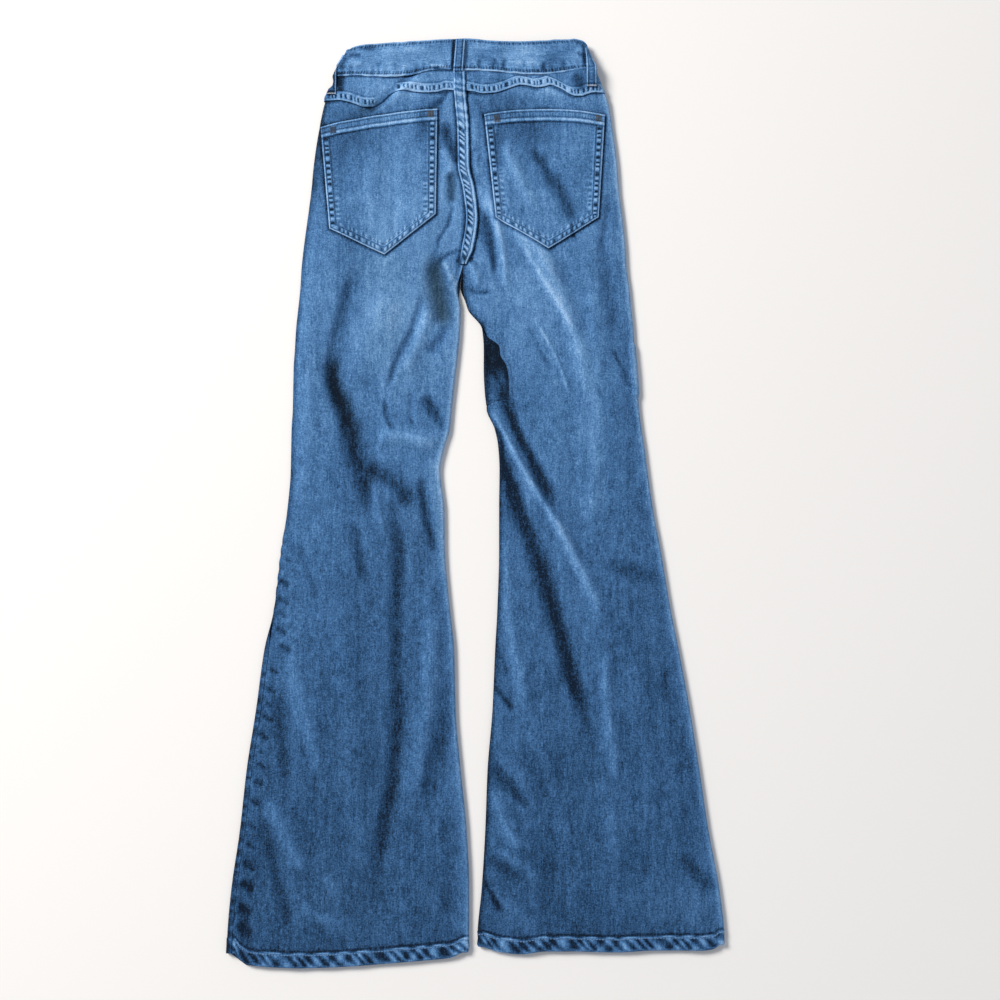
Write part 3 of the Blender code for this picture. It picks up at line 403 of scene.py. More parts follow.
def panelGrid(side, low, high, rows, columns, curlCells, relief):
    # Points across a back panel or a yoke; low and high give its edges by share of the width.
    shares = np.concatenate([np.zeros(curlCells + 1), np.linspace(0, 1, columns + 1)[1:-1],
                             np.ones(curlCells + 1)])
    lowest, highest = low(shares)[None, :], high(shares)[None, :]
    y = lowest + (highest - lowest) * rows[:, None]
    x, run = np.zeros(y.shape), np.full(y.shape, 1e3)
    cells = np.linspace(0.0, 1.0, curlCells + 1)
    ends = {"Outer": slice(0, curlCells + 1), "Inner": slice(len(shares) - curlCells - 1, None)}
    for which, part in ends.items():
        start = seamHalves(side, which, y[:, part])[1]
        stop = np.maximum(start, math.pi * body["foldRadius"]) + 3.0
        run[:, part] = mix(start, stop, cells if which == "Outer" else cells[::-1])
        x[:, part], _, _, edge = curl(side, which, y[:, part], run[:, part], 0.0)
        if which == "Inner":
            flat = edge - sides[side] * np.abs(run[:, part] - start)
            x[:, part] = mix(flat, x[:, part], parted(y[:, part]))
    inside = slice(curlCells + 1, len(shares) - curlCells - 1)
    start, stop = x[:, curlCells][:, None], x[:, -curlCells - 1][:, None]
    x[:, inside] = mix(start, stop, shares[None, inside])
    out = relief(x, y, y - lowest, highest - y, run)
    z = topHeight(side, x, y) + out
    for which, part in ends.items():
        curledX, curledZ, inCurl, _ = curl(side, which, y[:, part], run[:, part], out[:, part])
        apart = parted(y[:, part]) if which == "Inner" else 1.0
        x[:, part] = np.where(inCurl, mix(x[:, part], curledX, apart), x[:, part])
        z[:, part] = np.where(inCurl, mix(z[:, part], curledZ, apart), z[:, part])
    return {"x": x, "y": y, "z": np.maximum(z, 0.0), "columns": shares, "turned": side == "right"}


def blurred(field, cells):      # the field smoothed over some cells each way
    for axis in (0, 1):
        for _ in range(2):
            padded = np.pad(field, [(cells, cells) if axis == a else (0, 0) for a in (0, 1)], mode="edge")
            total = np.cumsum(np.insert(padded, 0, 0.0, axis), axis)
            width = 2 * cells + 1
            ahead = [slice(width, None) if axis == a else slice(None) for a in (0, 1)]
            behind = [slice(None, -width) if axis == a else slice(None) for a in (0, 1)]
            field = (total[tuple(ahead)] - total[tuple(behind)]) / width
    return field


# Tone of the denim from 0, unworn indigo, to 1, worn nearly white: along both legs at their
# outer side, middle and inner side.
tones = {
    "y": (-548, -420, -280, -150, -40, 60, 150, 230, 300, 380, 440, 480, 545),
    "leftOuter": (0.26, 0.30, 0.38, 0.40, 0.44, 0.49, 0.51, 0.53, 0.52, 0.47, 0.40, 0.52, 0.58),
    "leftMiddle": (0.26, 0.29, 0.32, 0.35, 0.43, 0.51, 0.56, 0.61, 0.58, 0.53, 0.50, 0.65, 0.62),
    "leftInner": (0.29, 0.33, 0.38, 0.40, 0.45, 0.50, 0.54, 0.57, 0.56, 0.53, 0.50, 0.56, 0.60),
    "rightInner": (0.31, 0.33, 0.38, 0.40, 0.44, 0.48, 0.49, 0.52, 0.54, 0.54, 0.50, 0.56, 0.62),
    "rightMiddle": (0.27, 0.29, 0.34, 0.38, 0.45, 0.52, 0.55, 0.57, 0.54, 0.48, 0.44, 0.62, 0.60),
    "rightOuter": (0.28, 0.29, 0.30, 0.32, 0.37, 0.40, 0.40, 0.43, 0.51, 0.52, 0.48, 0.58, 0.56),
}

# Painted shade along each leg's folded side towards the wearer's left and painted light along the one
# towards the wearer's right: how much paler each is than the cloth beside it, and how far in and up.
sideShading = {"leftOuter": -0.34, "leftInner": 0.36, "rightInner": -0.42, "rightOuter": 0.38,
             "reach": 4.5, "top": 470.0}

# Painted shade in deep hollows, browner than the rest: paths, their reach and how much.
hollowShade = (
    (((-50, 276), (-48, 246), (-44, 222), (-39, 200), (-34, 176)), (8, 13, 9), 0.8),
    (((-29, 374), (-28, 352), (-27, 330)), 6.0, 0.5),
    (((-167, 166), (-169, 133), (-162, 105), (-151, 82), (-143, 59), (-138, 36)), (8, 12, 8), 0.35),
    (((-146, 446), (-130, 450), (-112, 462)), 6.0, 0.35),
)

# Soft patches, partly wash fades and partly painted shade and painted light beside folds, edges and sewn-on
# pieces: place, reach each way, paleness and greyness, which goes into the shade attribute.
patches = (
    (-112, 175, 34, 55, 0.03, 0.12), (-112, 262, 34, 34, 0.02, 0.12), (-146, 446, 40, 12, -0.10, 0.05),
    (-45, 300, 16, 40, 0.0, 0.10), (-15, 326, 30, 36, 0.13, 0.0), (-156, 240, 22, 80, -0.10, 0.04),
    (-188, 385, 12, 70, -0.16, 0.10), (-145, 412, 26, 14, -0.14, 0.05), (-150, 380, 22, 36, -0.06, 0.0),
    (-60, 300, 16, 22, 0.05, 0.0), (30, 452, 26, 22, -0.17, 0.05), (62, 423, 34, 16, -0.12, 0.0),
    (118, 408, 28, 28, 0.10, 0.0), (34, 512, 16, 14, 0.12, 0.0), (28, 487, 14, 8, -0.20, 0.0),
    (52, 464, 22, 7, -0.08, 0.0), (100, 473, 26, 6, 0.10, 0.0), (62, 487, 20, 6, 0.10, 0.0),
    (-62, 443, 9, 20, -0.20, 0.0), (-174, 500, 9, 32, -0.45, 0.0), (-64, 425, 8, 22, -0.18, 0.0),
    (-47, 480, 8, 8, -0.12, 0.0), (0, 487, 9, 8, -0.14, 0.0), (-75, 472, 24, 7, 0.13, 0.0),
    (104, 491, 12, 8, -0.12, 0.0), (120, 483, 10, 10, -0.10, 0.0), (-38, 390, 10, 18, -0.12, 0.0),
    (-13, 326, 7, 26, -0.16, 0.0), (-5, 372, 8, 20, -0.10, 0.0), (-42, 262, 12, 14, -0.14, 0.0),
    (-78, 197, 20, 26, 0.10, 0.0), (24, 312, 14, 16, 0.10, 0.0), (36, -22, 10, 44, -0.12, 0.0),
    (80, -26, 10, 18, -0.10, 0.0), (-72, -300, 10, 36, -0.07, 0.0), (-40, 360, 7, 30, 0.14, 0.0),
    (16, 335, 14, 26, 0.07, 0.0), (62, 92, 26, 40, -0.11, 0.0), (6, 180, 10, 14, -0.14, 0.0),
    (140, 60, 14, 60, 0.05, 0.0), (172, 30, 14, 70, -0.04, 0.0), (70, 230, 50, 50, 0.02, 0.0),
    (-60, 130, 30, 30, 0.02, 0.08), (-42, 14, 14, 18, 0.10, 0.0), (-41, -20, 10, 50, 0.09, 0.0),
    (-130, 110, 18, 40, -0.05, 0.0), (-70, -60, 40, 50, -0.03, 0.08), (-155, -160, 14, 60, -0.04, 0.0),
    (-198, -165, 22, 26, 0.07, 0.0), (-132, -26, 12, 18, -0.10, 0.0), (-80, -28, 14, 14, -0.07, 0.0),
    (-156, 2, 14, 18, -0.10, 0.0), (-150, 285, 26, 60, -0.04, 0.0), (-95, 187, 20, 26, 0.05, 0.0),
    (-195, -225, 18, 90, 0.06, 0.0), (-225, -310, 18, 70, -0.07, 0.0), (-246, -455, 13, 34, -0.09, 0.0),
    (-53, -331, 14, 40, 0.05, 0.0), (156, -343, 14, 50, 0.08, 0.0), (100, -330, 30, 90, -0.05, 0.0),
    (-130, -330, 40, 60, -0.02, 0.08), (-150, -470, 60, 40, 0.01, 0.10), (235, -485, 46, 28, 0.12, 0.10),
    (120, -470, 60, 30, -0.03, 0.0), (160, -120, 30, 60, -0.03, 0.0), (127, -160, 15, 32, 0.11, 0.0),
    (62, -185, 20, 26, -0.06, 0.0), (196, -468, 42, 26, 0.06, 0.0), (96, -435, 26, 30, -0.06, 0.0),
    (-262, -536, 12, 9, -0.20, 0.0), (60, -520, 30, 8, -0.12, 0.0), (185, -522, 24, 7, 0.12, 0.0),
)


def denimTone(side, grid, extra=0.0, hollows=0.0, cells=6, onTop=1.0):
    # Tone and shade of every point: paler on crests, darker and browner in hollows, partly wear and partly
    # painted highlight and painted shade. The creases and patches of the upper side don't reach the
    # underside, where onTop is 0.
    x, y, z = grid["x"], grid["y"], grid["z"]
    outer, inner = along(outline, side + "Outer", y), along(outline, side + "Inner", y)
    share = np.clip((x - outer) / (inner - outer), 0.0, 1.0)
    atOuter, atMiddle, atInner = (along(tones, side + which, y) for which in ("Outer", "Middle", "Inner"))
    curve = (1.0 - share) * (1.0 - 2.0 * share) * atOuter + 4.0 * share * (1.0 - share) * atMiddle
    tone = curve + share * (2.0 * share - 1.0) * atInner
    paler = creased(x, y)[1] * onTop
    shade = np.zeros(x.shape)
    for points, reach, amount in hollowShade:
        shade = shade + amount * nearPath(smoothPath(points), reach, 0.0, x, y) * onTop
    # painted shade and painted light along the folded sides
    for which, edge in (("Outer", outer), ("Inner", inner)):
        tone = tone + sideShading[side + which] * bell(x, edge, sideShading["reach"]) * (y < sideShading["top"])
    for px, py, reachX, reachY, amount, grey in patches:
        near = bell(x, px, reachX) * bell(y, py, reachY) * onTop
        tone = tone + amount * near
        shade = shade + grey * near
    # painted highlight on crests and painted shade in hollows, from the height over the blurred height
    rise = z - blurred(z, cells)
    tone = tone + 0.10 * np.clip(rise / 2.0, -1.0, 1.0) + paler + extra
    grid["tone"] = np.clip(tone, 0.0, 1.0)
    grid["shade"] = np.clip(shade + hollows, 0.0, 1.0)
    return grid


def addSheet(name, grid, wall, material, thin):
    # A grid primitive laid on the points, then given its wall on the inner side.
    rows, columns = grid["x"].shape
    bpy.ops.object.select_all(action="DESELECT")
    bpy.ops.mesh.primitive_grid_add(x_subdivisions=columns - 1, y_subdivisions=rows - 1, size=2.0)
    piece = bpy.context.object
    piece.name = name
    piece.data.name = name
    spots = np.zeros(len(piece.data.vertices) * 3, np.float32)
    piece.data.vertices.foreach_get("co", spots)
    spots = spots.reshape(-1, 3)
    column = np.rint((spots[:, 0] + 1.0) / 2.0 * (columns - 1)).astype(int)
    row = np.rint((spots[:, 1] + 1.0) / 2.0 * (rows - 1)).astype(int)
    points = [grid["x"][row, column] - centre[0], grid["y"][row, column] - centre[1],
              grid["z"][row, column]]
    piece.data.vertices.foreach_set("co", np.stack(points, 1).ravel() * 0.001)
    for field in ("tone", "shade"):
        layer = piece.data.attributes.new(field, "FLOAT", "POINT")
        layer.data.foreach_set("value", grid[field][row, column].astype(np.float32))
    piece.data.update()
    if grid.get("turned"):
        piece.data.flip_normals()
    thickness = np.broadcast_to(np.asarray(wall, float), grid["x"].shape)[row, column]
    group = piece.vertex_groups.new(name="wall")
    for value in np.unique(thickness.round(2)):
        chosen = np.flatnonzero(thickness.round(2) == value).tolist()
        group.add(chosen, value / thickness.max(), "REPLACE")
    modifier = piece.modifiers.new("wall", "SOLIDIFY")
    modifier.thickness = thickness.max() * 0.001
    modifier.offset = -1.0
    modifier.vertex_group = "wall"
    if thin:      # the hidden inner side needs fewer faces
        piece.vertex_groups.new(name="inner")
        modifier.shell_vertex_group = "inner"
    bpy.ops.object.modifier_apply(modifier="wall")
    if thin:
        modifier = piece.modifiers.new("thin", "DECIMATE")
        modifier.ratio = thin
        modifier.vertex_group = "inner"
        modifier.vertex_group_factor = 1000.0
        bpy.ops.object.modifier_apply(modifier="thin")
    piece.vertex_groups.clear()
    bpy.ops.object.shade_smooth_by_angle(angle=math.radians(55.0))
    piece.data.materials.append(material)
    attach(piece, "root")
    return piece


def dress(node, name, grid, wall, material, thin=None):
    # The sheet that stands for a node: made, and the node's own solid hidden.
    piece = addSheet(name, grid, wall, material, thin)
    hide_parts(node)


def pathOn(grid, path):
    # Points and normals every quarter millimetre along a path given by column and row places.
    x, y, z = grid["x"], grid["y"], grid["z"]
    alongRow = np.stack([np.gradient(a, axis=1) for a in (x, y, z)], -1)
    alongColumn = np.stack([np.gradient(a, axis=0) for a in (x, y, z)], -1)
    normals = np.cross(alongRow, alongColumn)
    if grid.get("turned"):
        normals = -normals
    normals /= np.maximum(np.linalg.norm(normals, axis=2, keepdims=True), 1e-9)
    surface = np.concatenate([np.stack([x, y, z], -1), normals], -1)
    pieces = []
    for (u0, v0), (u1, v1) in zip(path[:-1], path[1:]):
        t = np.linspace(0.0, 1.0, 600)
        pieces.append(np.stack([mix(u0, u1, t), mix(v0, v1, t)], 1))
    places = np.concatenate(pieces)
    c = np.interp(places[:, 0], grid["u"], np.arange(len(grid["u"])))
    r = np.interp(places[:, 1], grid["v"], np.arange(len(grid["v"])))
    c0, r0 = np.minimum(c.astype(int), x.shape[1] - 2), np.minimum(r.astype(int), x.shape[0] - 2)
    c, r = (c - c0)[:, None], (r - r0)[:, None]
    found = (surface[r0, c0] * (1 - r) * (1 - c) + surface[r0, c0 + 1] * (1 - r) * c
             + surface[r0 + 1, c0] * r * (1 - c) + surface[r0 + 1, c0 + 1] * r * c)
    length = np.concatenate([[0.0], np.cumsum(np.linalg.norm(np.diff(found[:, :3], axis=0), axis=1))])
    at = np.arange(0.0, length[-1], 0.25)
    return np.stack([np.interp(at, length, found[:, i]) for i in range(6)], 1), at


def addStitches(name, rows, material):
    # Copies of one small stitch along rows of sewing, joined into one mesh. Each row has its
    # points, the pitch, and the stitch's length, width and depth into the cloth.
    bpy.ops.object.select_all(action="DESELECT")
    bpy.ops.mesh.primitive_uv_sphere_add(segments=6, ring_count=4, radius=0.5)
    stitch = bpy.context.object
    shape = np.array([v.co for v in stitch.data.vertices])
    shape = shape[:, [2, 0, 1]]      # its poles along the thread
    shape[:, 2] -= 0.5 * (2.0 * shape[:, 0]) ** 2 * 0.7      # its ends dive into the cloth
    faces = [tuple(p.vertices) for p in stitch.data.polygons]
    bpy.data.objects.remove(stitch)
    points, polygons = [], []
    for path, at, pitch, length, width, sink in rows:
        count = int(at[-1] / pitch)
        for index in range(count):
            spot = (index + 0.5) * pitch / at[-1] * (len(path) - 1)
            here, ahead = path[int(spot)], path[min(int(spot) + 4, len(path) - 1)]
            behind = path[max(int(spot) - 4, 0)]
            heading = ahead[:3] - behind[:3]
            heading /= np.linalg.norm(heading)
            up = here[3:] - heading * (here[3:] @ heading)
            up /= np.linalg.norm(up)
            turned = np.stack([heading * length, np.cross(up, heading) * width, up * width * 0.8])
            polygons += [tuple(len(points) + i for i in face) for face in faces]
            points += list(here[:3] + up * (width * 0.3 - sink) + shape @ turned)
    mesh = bpy.data.meshes.new(name)
    moved = (np.array(points) - [centre[0], centre[1], 0.0]) * 0.001
    mesh.from_pydata(moved.tolist(), [], polygons)
    mesh.shade_smooth()
    mesh.materials.append(material)
    piece = bpy.data.objects.new(name, mesh)
    bpy.context.scene.collection.objects.link(piece)
    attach(piece, "root")
    return piece


def toLinear(text):      # an sRGB hex value as linear colour
    parts = [int(text[i:i + 2], 16) / 255.0 for i in (0, 2, 4)]
    return [p / 12.92 if p <= 0.04045 else ((p + 0.055) / 1.055) ** 2.4 for p in parts] + [1.0]


def addNode(tree, kind, settings=None, links=None):
    # A shader node with its settings and the outputs that feed it.
    node = tree.nodes.new(kind)
    for key, value in (settings or {}).items():
        if isinstance(key, int) or key in node.inputs:
            node.inputs[key].default_value = value
        else:
            setattr(node, key, value)
    for key, source in (links or {}).items():
        tree.links.new(source, node.inputs[key])
    return node


def combine(tree, start, *parts):      # start plus each part's value, less a half, times its share
    total = start
    for value, share in parts:
        moved = addNode(tree, "ShaderNodeMath", {"operation": "MULTIPLY_ADD", 1: share, 2: -share / 2},
                        {0: value})
        total = addNode(tree, "ShaderNodeMath", {"operation": "ADD"},
                        {0: total, 1: moved.outputs[0]}).outputs[0]
    return total


def newMaterial(name, finish):
    material = bpy.data.materials.new(name)
    material.use_nodes = True
    shader = material.node_tree.nodes["Principled BSDF"]
    for key, value in finish.items():
        shader.inputs[key].default_value = value
    return material, material.node_tree, shader


def setStops(ramp, stops):      # its two ends come first
    for index, (position, colour) in enumerate(stops):
        stop = ramp.color_ramp.elements[index] if index < 2 else ramp.color_ramp.elements.new(position)
        stop.position = position
        stop.color = toLinear(colour)


def denim(name, grainAcross=False):
    # Stretch denim, a cotton twill with indigo warp: mottled by its thick and thin yarns, paler where it
    # rubs, and with painted shade and highlight carried in its tone and shade attributes. The real threads
    # are 0.4 mm, drawn coarser here so that they show.
    material, tree, shader = newMaterial(name, {"Roughness": 0.88, "Specular IOR Level": 0.12,
                                                "Sheen Weight": 0.02, "Sheen Roughness": 0.5})
    place = addNode(tree, "ShaderNodeTexCoord").outputs["Object"]

    def grain(width, length, detail):      # yarn streaks of a width and a length in millimetres
        size = (1000.0 / width, 1000.0 / length, 1000.0 / width)
        if grainAcross:
            size = (1000.0 / length, 1000.0 / width, 1000.0 / width)
        mapped = addNode(tree, "ShaderNodeMapping", {"Scale": size}, {"Vector": place})
        return addNode(tree, "ShaderNodeTexNoise", {"Scale": 1.0, "Detail": detail, "Roughness": 0.6},
                       {"Vector": mapped.outputs[0]}).outputs["Fac"]

    speck, slub, pick = grain(1.5, 1.7, 2.0), grain(1.5, 7.5, 2.0), grain(5.0, 1.5, 2.0)
    streak, blot, cloud = grain(5.0, 60.0, 3.0), grain(9.0, 16.0, 2.0), grain(40.0, 70.0, 3.0)
    tone = addNode(tree, "ShaderNodeAttribute", {"attribute_name": "tone"}).outputs["Fac"]
    shade = addNode(tree, "ShaderNodeAttribute", {"attribute_name": "shade"}).outputs["Fac"]
    worn = combine(tree, tone, (speck, 0.80), (slub, 0.46), (pick, 0.28), (streak, 0.30), (blot, 0.30),
                   (cloud, 0.24))
    ramp = addNode(tree, "ShaderNodeValToRGB", {}, {"Fac": worn})
    setStops(ramp, ((0.0, "0b1c30"), (1.0, "9dc3ec"), (0.25, "294d75"), (0.5, "4673a6"), (0.75, "6a9acd")))
    # the shade attribute is painted shade: it darkens the colour towards brown-grey
    dusk = addNode(tree, "ShaderNodeMix", {"data_type": "RGBA", "blend_type": "MULTIPLY"},
                   {0: shade, 6: ramp.outputs["Color"]})
    dusk.inputs[7].default_value = toLinear("a2957a")
    tree.links.new(dusk.outputs[2], shader.inputs["Base Color"])
    relief = combine(tree, speck, (slub, 1.0))
    bump = addNode(tree, "ShaderNodeBump", {"Strength": 0.35, "Distance": 0.0005}, {"Height": relief})
    tree.links.new(bump.outputs[0], shader.inputs["Normal"])
    return material


def mottled(name, size, detail, stops, finish):
    # A material that wanders between two tones, in blots of a size in millimetres.
    material, tree, shader = newMaterial(name, finish)
    place = addNode(tree, "ShaderNodeTexCoord").outputs["Object"]
    mapped = addNode(tree, "ShaderNodeMapping", {"Scale": (1000.0 / size,) * 3}, {"Vector": place})
    noise = addNode(tree, "ShaderNodeTexNoise", {"Scale": 1.0, "Detail": detail},
                    {"Vector": mapped.outputs[0]}).outputs["Fac"]
    ramp = addNode(tree, "ShaderNodeValToRGB", {}, {"Fac": noise})
    setStops(ramp, stops)
    tree.links.new(ramp.outputs[0], shader.inputs["Base Color"])
    return material


def thread(name, dark, pale):
    # Spun polyester sewing thread: dull, with fibres that catch a little light.
    return mottled(name, 1000.0 / 120.0, 2.0, ((0.3, dark), (0.7, pale)),
                   {"Roughness": 0.7, "Sheen Weight": 0.2})


legDenim = denim("denim_legs")
seatDenim = denim("denim_seat")
bandDenim = denim("denim_waistband", grainAcross=True)
seamDenim = denim("denim_seams")
paleThread = thread("thread_worn_blue", "5b80aa", "7c9fc6")
darkThread = thread("thread_indigo", "182c45", "2b4769")
tanThread = thread("thread_faded_tan", "2c2b2a", "625d52")
wornThread = thread("thread_worn_grey", "8a8f96", "c6cbd2")
# Plated brass, tumbled dull: brown in its hollows, brighter where it is rubbed.
brass = mottled("antique_brass", 2.5, 4.0, ((0.0, "5a4027"), (1.0, "b08a58")),
                {"Metallic": 1.0, "Roughness": 0.42})
print("materials: made")


# Camera, floor and light

view = {"lookAt": (29.0, -21.9), "distance": 1700.0, "tilt": 8.0, "lens": 52.76}


def addCamera():
    tilt = math.radians(view["tilt"])
    away = view["distance"]
    x, y = view["lookAt"][0] - centre[0], view["lookAt"][1] - centre[1]
    place = (x * 0.001, (y - away * math.sin(tilt)) * 0.001, away * math.cos(tilt) * 0.001)
    bpy.ops.object.camera_add(location=place, rotation=(tilt, 0.0, 0.0))
    camera = bpy.context.object
    camera.data.lens = view["lens"]
    camera.data.sensor_width = 36.0
    camera.data.clip_end = 20.0
    bpy.context.scene.camera = camera


light = {
    "key": {"from": (-3.4, 2.2, 3.1), "size": 1.8, "watts": 300.0, "colour": "fff9f2"},
    "fill": {"from": (1.2, -1.4, 2.6), "size": 2.6, "watts": 10.0, "colour": "eef4ff"},
    "sky": ("f6f8fc", 0.29),
}


def addLights():
    for name in ("key", "fill"):
        lamp = light[name]
        bpy.ops.object.light_add(type="AREA", location=lamp["from"])
        item = bpy.context.object
        item.name = name
        item.data.size = lamp["size"]
        item.data.energy = lamp["watts"]
        item.data.color = toLinear(lamp["colour"])[:3]
        item.rotation_euler = (-item.location).to_track_quat("-Z", "Y").to_euler()
    world = bpy.data.worlds.new("studio")
    bpy.context.scene.world = world
    world.use_nodes = True
    back = world.node_tree.nodes["Background"]
    back.inputs["Color"].default_value = toLinear(light["sky"][0])
    back.inputs["Strength"].default_value = light["sky"][1]
    bpy.context.scene.view_settings.view_transform = "Standard"


def addFloor():
    bpy.ops.mesh.primitive_plane_add(size=7.0, location=(0.0, 0.0, -0.0004))
    floor = bpy.context.object
    floor.name = "floor"
    # Matt white paper, evenly pale.
    paint = newMaterial("floor_matt_white", {"Base Color": toLinear("fafafa"), "Roughness": 0.95})[0]
    floor.data.materials.append(paint)


addCamera()
addLights()
addFloor()
print("camera, light and floor: set")


# Back pockets: corners of the patch, the rise of its top edge and the drop to its tip. Grooves
# and lines here and on other pieces give a place, a reach and an amount.

pocket = {
    "border": 11.0, "lowBorder": 8.0, "hem": 14.2, "gap": 0.7, "raise": 0.6, "step": 1.0, "cell": 0.95,
    "thin": 0.6, "ladder": (7.4, 0.36),
    "grooves": ((2.4, 0.7, -0.34), (9.4, 0.7, -0.34)), "hemGrooves": ((2.9, 0.7, -0.3), (9.2, 0.7, -0.3)),
    # pale edge lines are partly worn and partly painted highlight; the last hem line is a painted shadow
    # below the hem
    "lines": ((0.8, 0.9, 0.54), (2.5, 0.7, -0.34), (9.8, 0.8, -0.38), (11.6, 0.8, 0.06)),
    "hemLines": ((0.9, 1.0, 0.34), (3.0, 0.7, -0.30), (9.0, 0.8, -0.26), (11.8, 1.5, 0.34),
                 (15.0, 1.1, -0.36)),
    "left": {"topLeft": (-186, 428), "topRight": (-46, 450), "lowLeft": (-173, 301), "lowRight": (-47, 319),
             "arch": 3.0, "drop": 41.0, "tip": 0.52, "cut": (0.142, 0.172, 0.0212)},
    "right": {"topLeft": (10, 443), "topRight": (155, 443), "lowLeft": (24, 314), "lowRight": (146, 315),
              "arch": 6.5, "drop": 38.0, "tip": 0.51, "cut": (0.146, 0.172, 0.0214)},
}


def pocketCorners(place):
    return {name: np.array(place[name], float) for name in ("topLeft", "topRight", "lowLeft", "lowRight")}


def pocketOutline(side):      # round the patch from its tip
    place = pocket[side]
    topLeft, topRight, lowLeft, lowRight = pocketCorners(place).values()
    tip = mix(lowLeft, lowRight, place["tip"]) - (0.0, place["drop"])
    top = mix(topLeft, topRight, 0.5) + (0.0, place["arch"])
    return np.array([tip, lowLeft, topLeft, top, topRight, lowRight, tip])


# Where a sewn-on piece presses on the cloth below it, which dips a little and gets a painted contact
# shadow: paths and their reach.
yokeEdges = [[(x, y - 5.5) for x, y in zip(waist["x"], waist["yokeSeam"]) if low < x < high]
             for low, high in ((-190, -124), (-92, 160))]
paintedContactShadows = {}
for side in sides:
    seamSide = [(along(outline, "leftInner", float(y)) - 7.6 * sides[side], y) for y in range(262, 500, 12)]
    paintedContactShadows[side] = [(pocketOutline(side), 2.6), (np.array(seamSide, float), 2.2)]
    paintedContactShadows[side] += [(np.array(edge, float), 2.0) for edge in yokeEdges]


# Back panels

backPanel = {
    "long": 1030.0, "hemSpan": 18.0, "columns": 136, "curlCells": 10, "rowStep": 2.3, "hemRows": 15,
    "raise": 0.7, "step": 1.2, "thin": 0.62,
    "rope": (13.0, 0.5, 0.9),        # pitch, height and slant of the twisted hem
    "stitchLine": 13.6,
    "cut": {"left": (0.285, 1.05, 0.226), "right": (0.30, 1.04, 0.224)},
}


def backEdges(side):
    def low(share):
        return along(hems, side, share)

    def high(share):
        x = mix(along(outline, side + "Outer", 480.0), along(outline, side + "Inner", 480.0), share)
        return along(waist, "yokeSeam", x) + 4.0
    return low, high


def hemRelief(x, fromLow, seed):
    # A doubled, turned-up hem, twisted by its one row of sewing.
    pitch, height, slant = backPanel["rope"]
    inside = smooth((body["hemDepth"] + backPanel["step"] - fromLow) / backPanel["step"])
    rope = height * ripple(x + slant * fromLow, pitch, seed) * window(fromLow, 3.0, 12.0, 2.5)
    groove = -0.55 * bell(fromLow, backPanel["stitchLine"], 1.0)
    edge = -0.9 * bell(fromLow, 0.0, 1.1)
    pull = 0.35 * ripple(x, 8.0, seed + 1.0) * bell(fromLow, 19.0, 5.0)
    return inside * (backPanel["raise"] + rope + groove + edge) + pull, inside, rope


def makeBackPanel(side):
    seed = 1.0 if side == "left" else 4.0
    low, high = backEdges(side)
    long, hemSpan = backPanel["long"], backPanel["hemSpan"]
    hemRows = np.linspace(0.0, hemSpan, backPanel["hemRows"] + 1) / long
    count = int((long - hemSpan) / backPanel["rowStep"])
    rows = np.concatenate([hemRows, np.linspace(hemSpan, long, count + 1)[1:] / long])
    marks = {}

    def relief(x, y, fromLow, toHigh, run):
        hem, inside, rope = hemRelief(x, fromLow, seed)
        broad = ripple(x - 0.8 * fromLow, 27.0, seed + 2.0)
        worn = inside * (0.50 * rope + 0.16 * broad + 0.24 * bell(fromLow, 1.0, 1.4)
                         + 0.42 * bell(fromLow - 0.8 * broad, 14.8, 0.9))
        # a painted shadow line just above the hem
        worn -= 0.42 * bell(fromLow, 17.8, 1.2)
        out = hem
        if side == "left":      # puckers along the side seam where it shows
            near = np.exp(-np.maximum(run - 13.0, 0.0) / 6.0) * (run < 60.0) * smooth((-40.0 - y) / 40.0)
            near = near * (x < -120.0)
            pull = ripple(y - 0.4 * run, 17.0, 2.0)
            out = out + near * (0.4 * pull + 0.3)
            worn = worn + near * (0.05 + 0.06 * pull)
        else:      # the flap edge that stands over the front panel
            near = np.exp(-np.maximum(run - along(seams, "rightInner", y), 0.0) / 7.0) * (run < 60.0)
            out = out + 1.6 * near * flapped(y)
        # painted contact shadow round the pocket, beside the seat seam and under the yoke
        for path, reach in paintedContactShadows[side]:
            amount = nearPath(path, reach, 0.0, x, y, 0.0)
            out = out - 0.35 * amount
            worn = worn - 0.44 * amount
        marks["worn"] = worn
        return out

    grid = panelGrid(side, low, high, rows, backPanel["columns"], backPanel["curlCells"], relief)
    grid["u"], grid["v"] = np.arange(grid["x"].shape[1]), rows * long
    denimTone(side, grid, marks["worn"])
    inHem = (grid["y"] - low(grid["columns"])[None, :]) <= body["hemDepth"]
    wall = np.where(inHem, body["hemWall"], body["wall"])
    dress("leg_back_" + side, "cloth_back_" + side, grid, wall, legDenim,
          backPanel["thin"])
    return grid


backGrids = {side: makeBackPanel(side) for side in sides}
print("back panels: made")


# Front panels

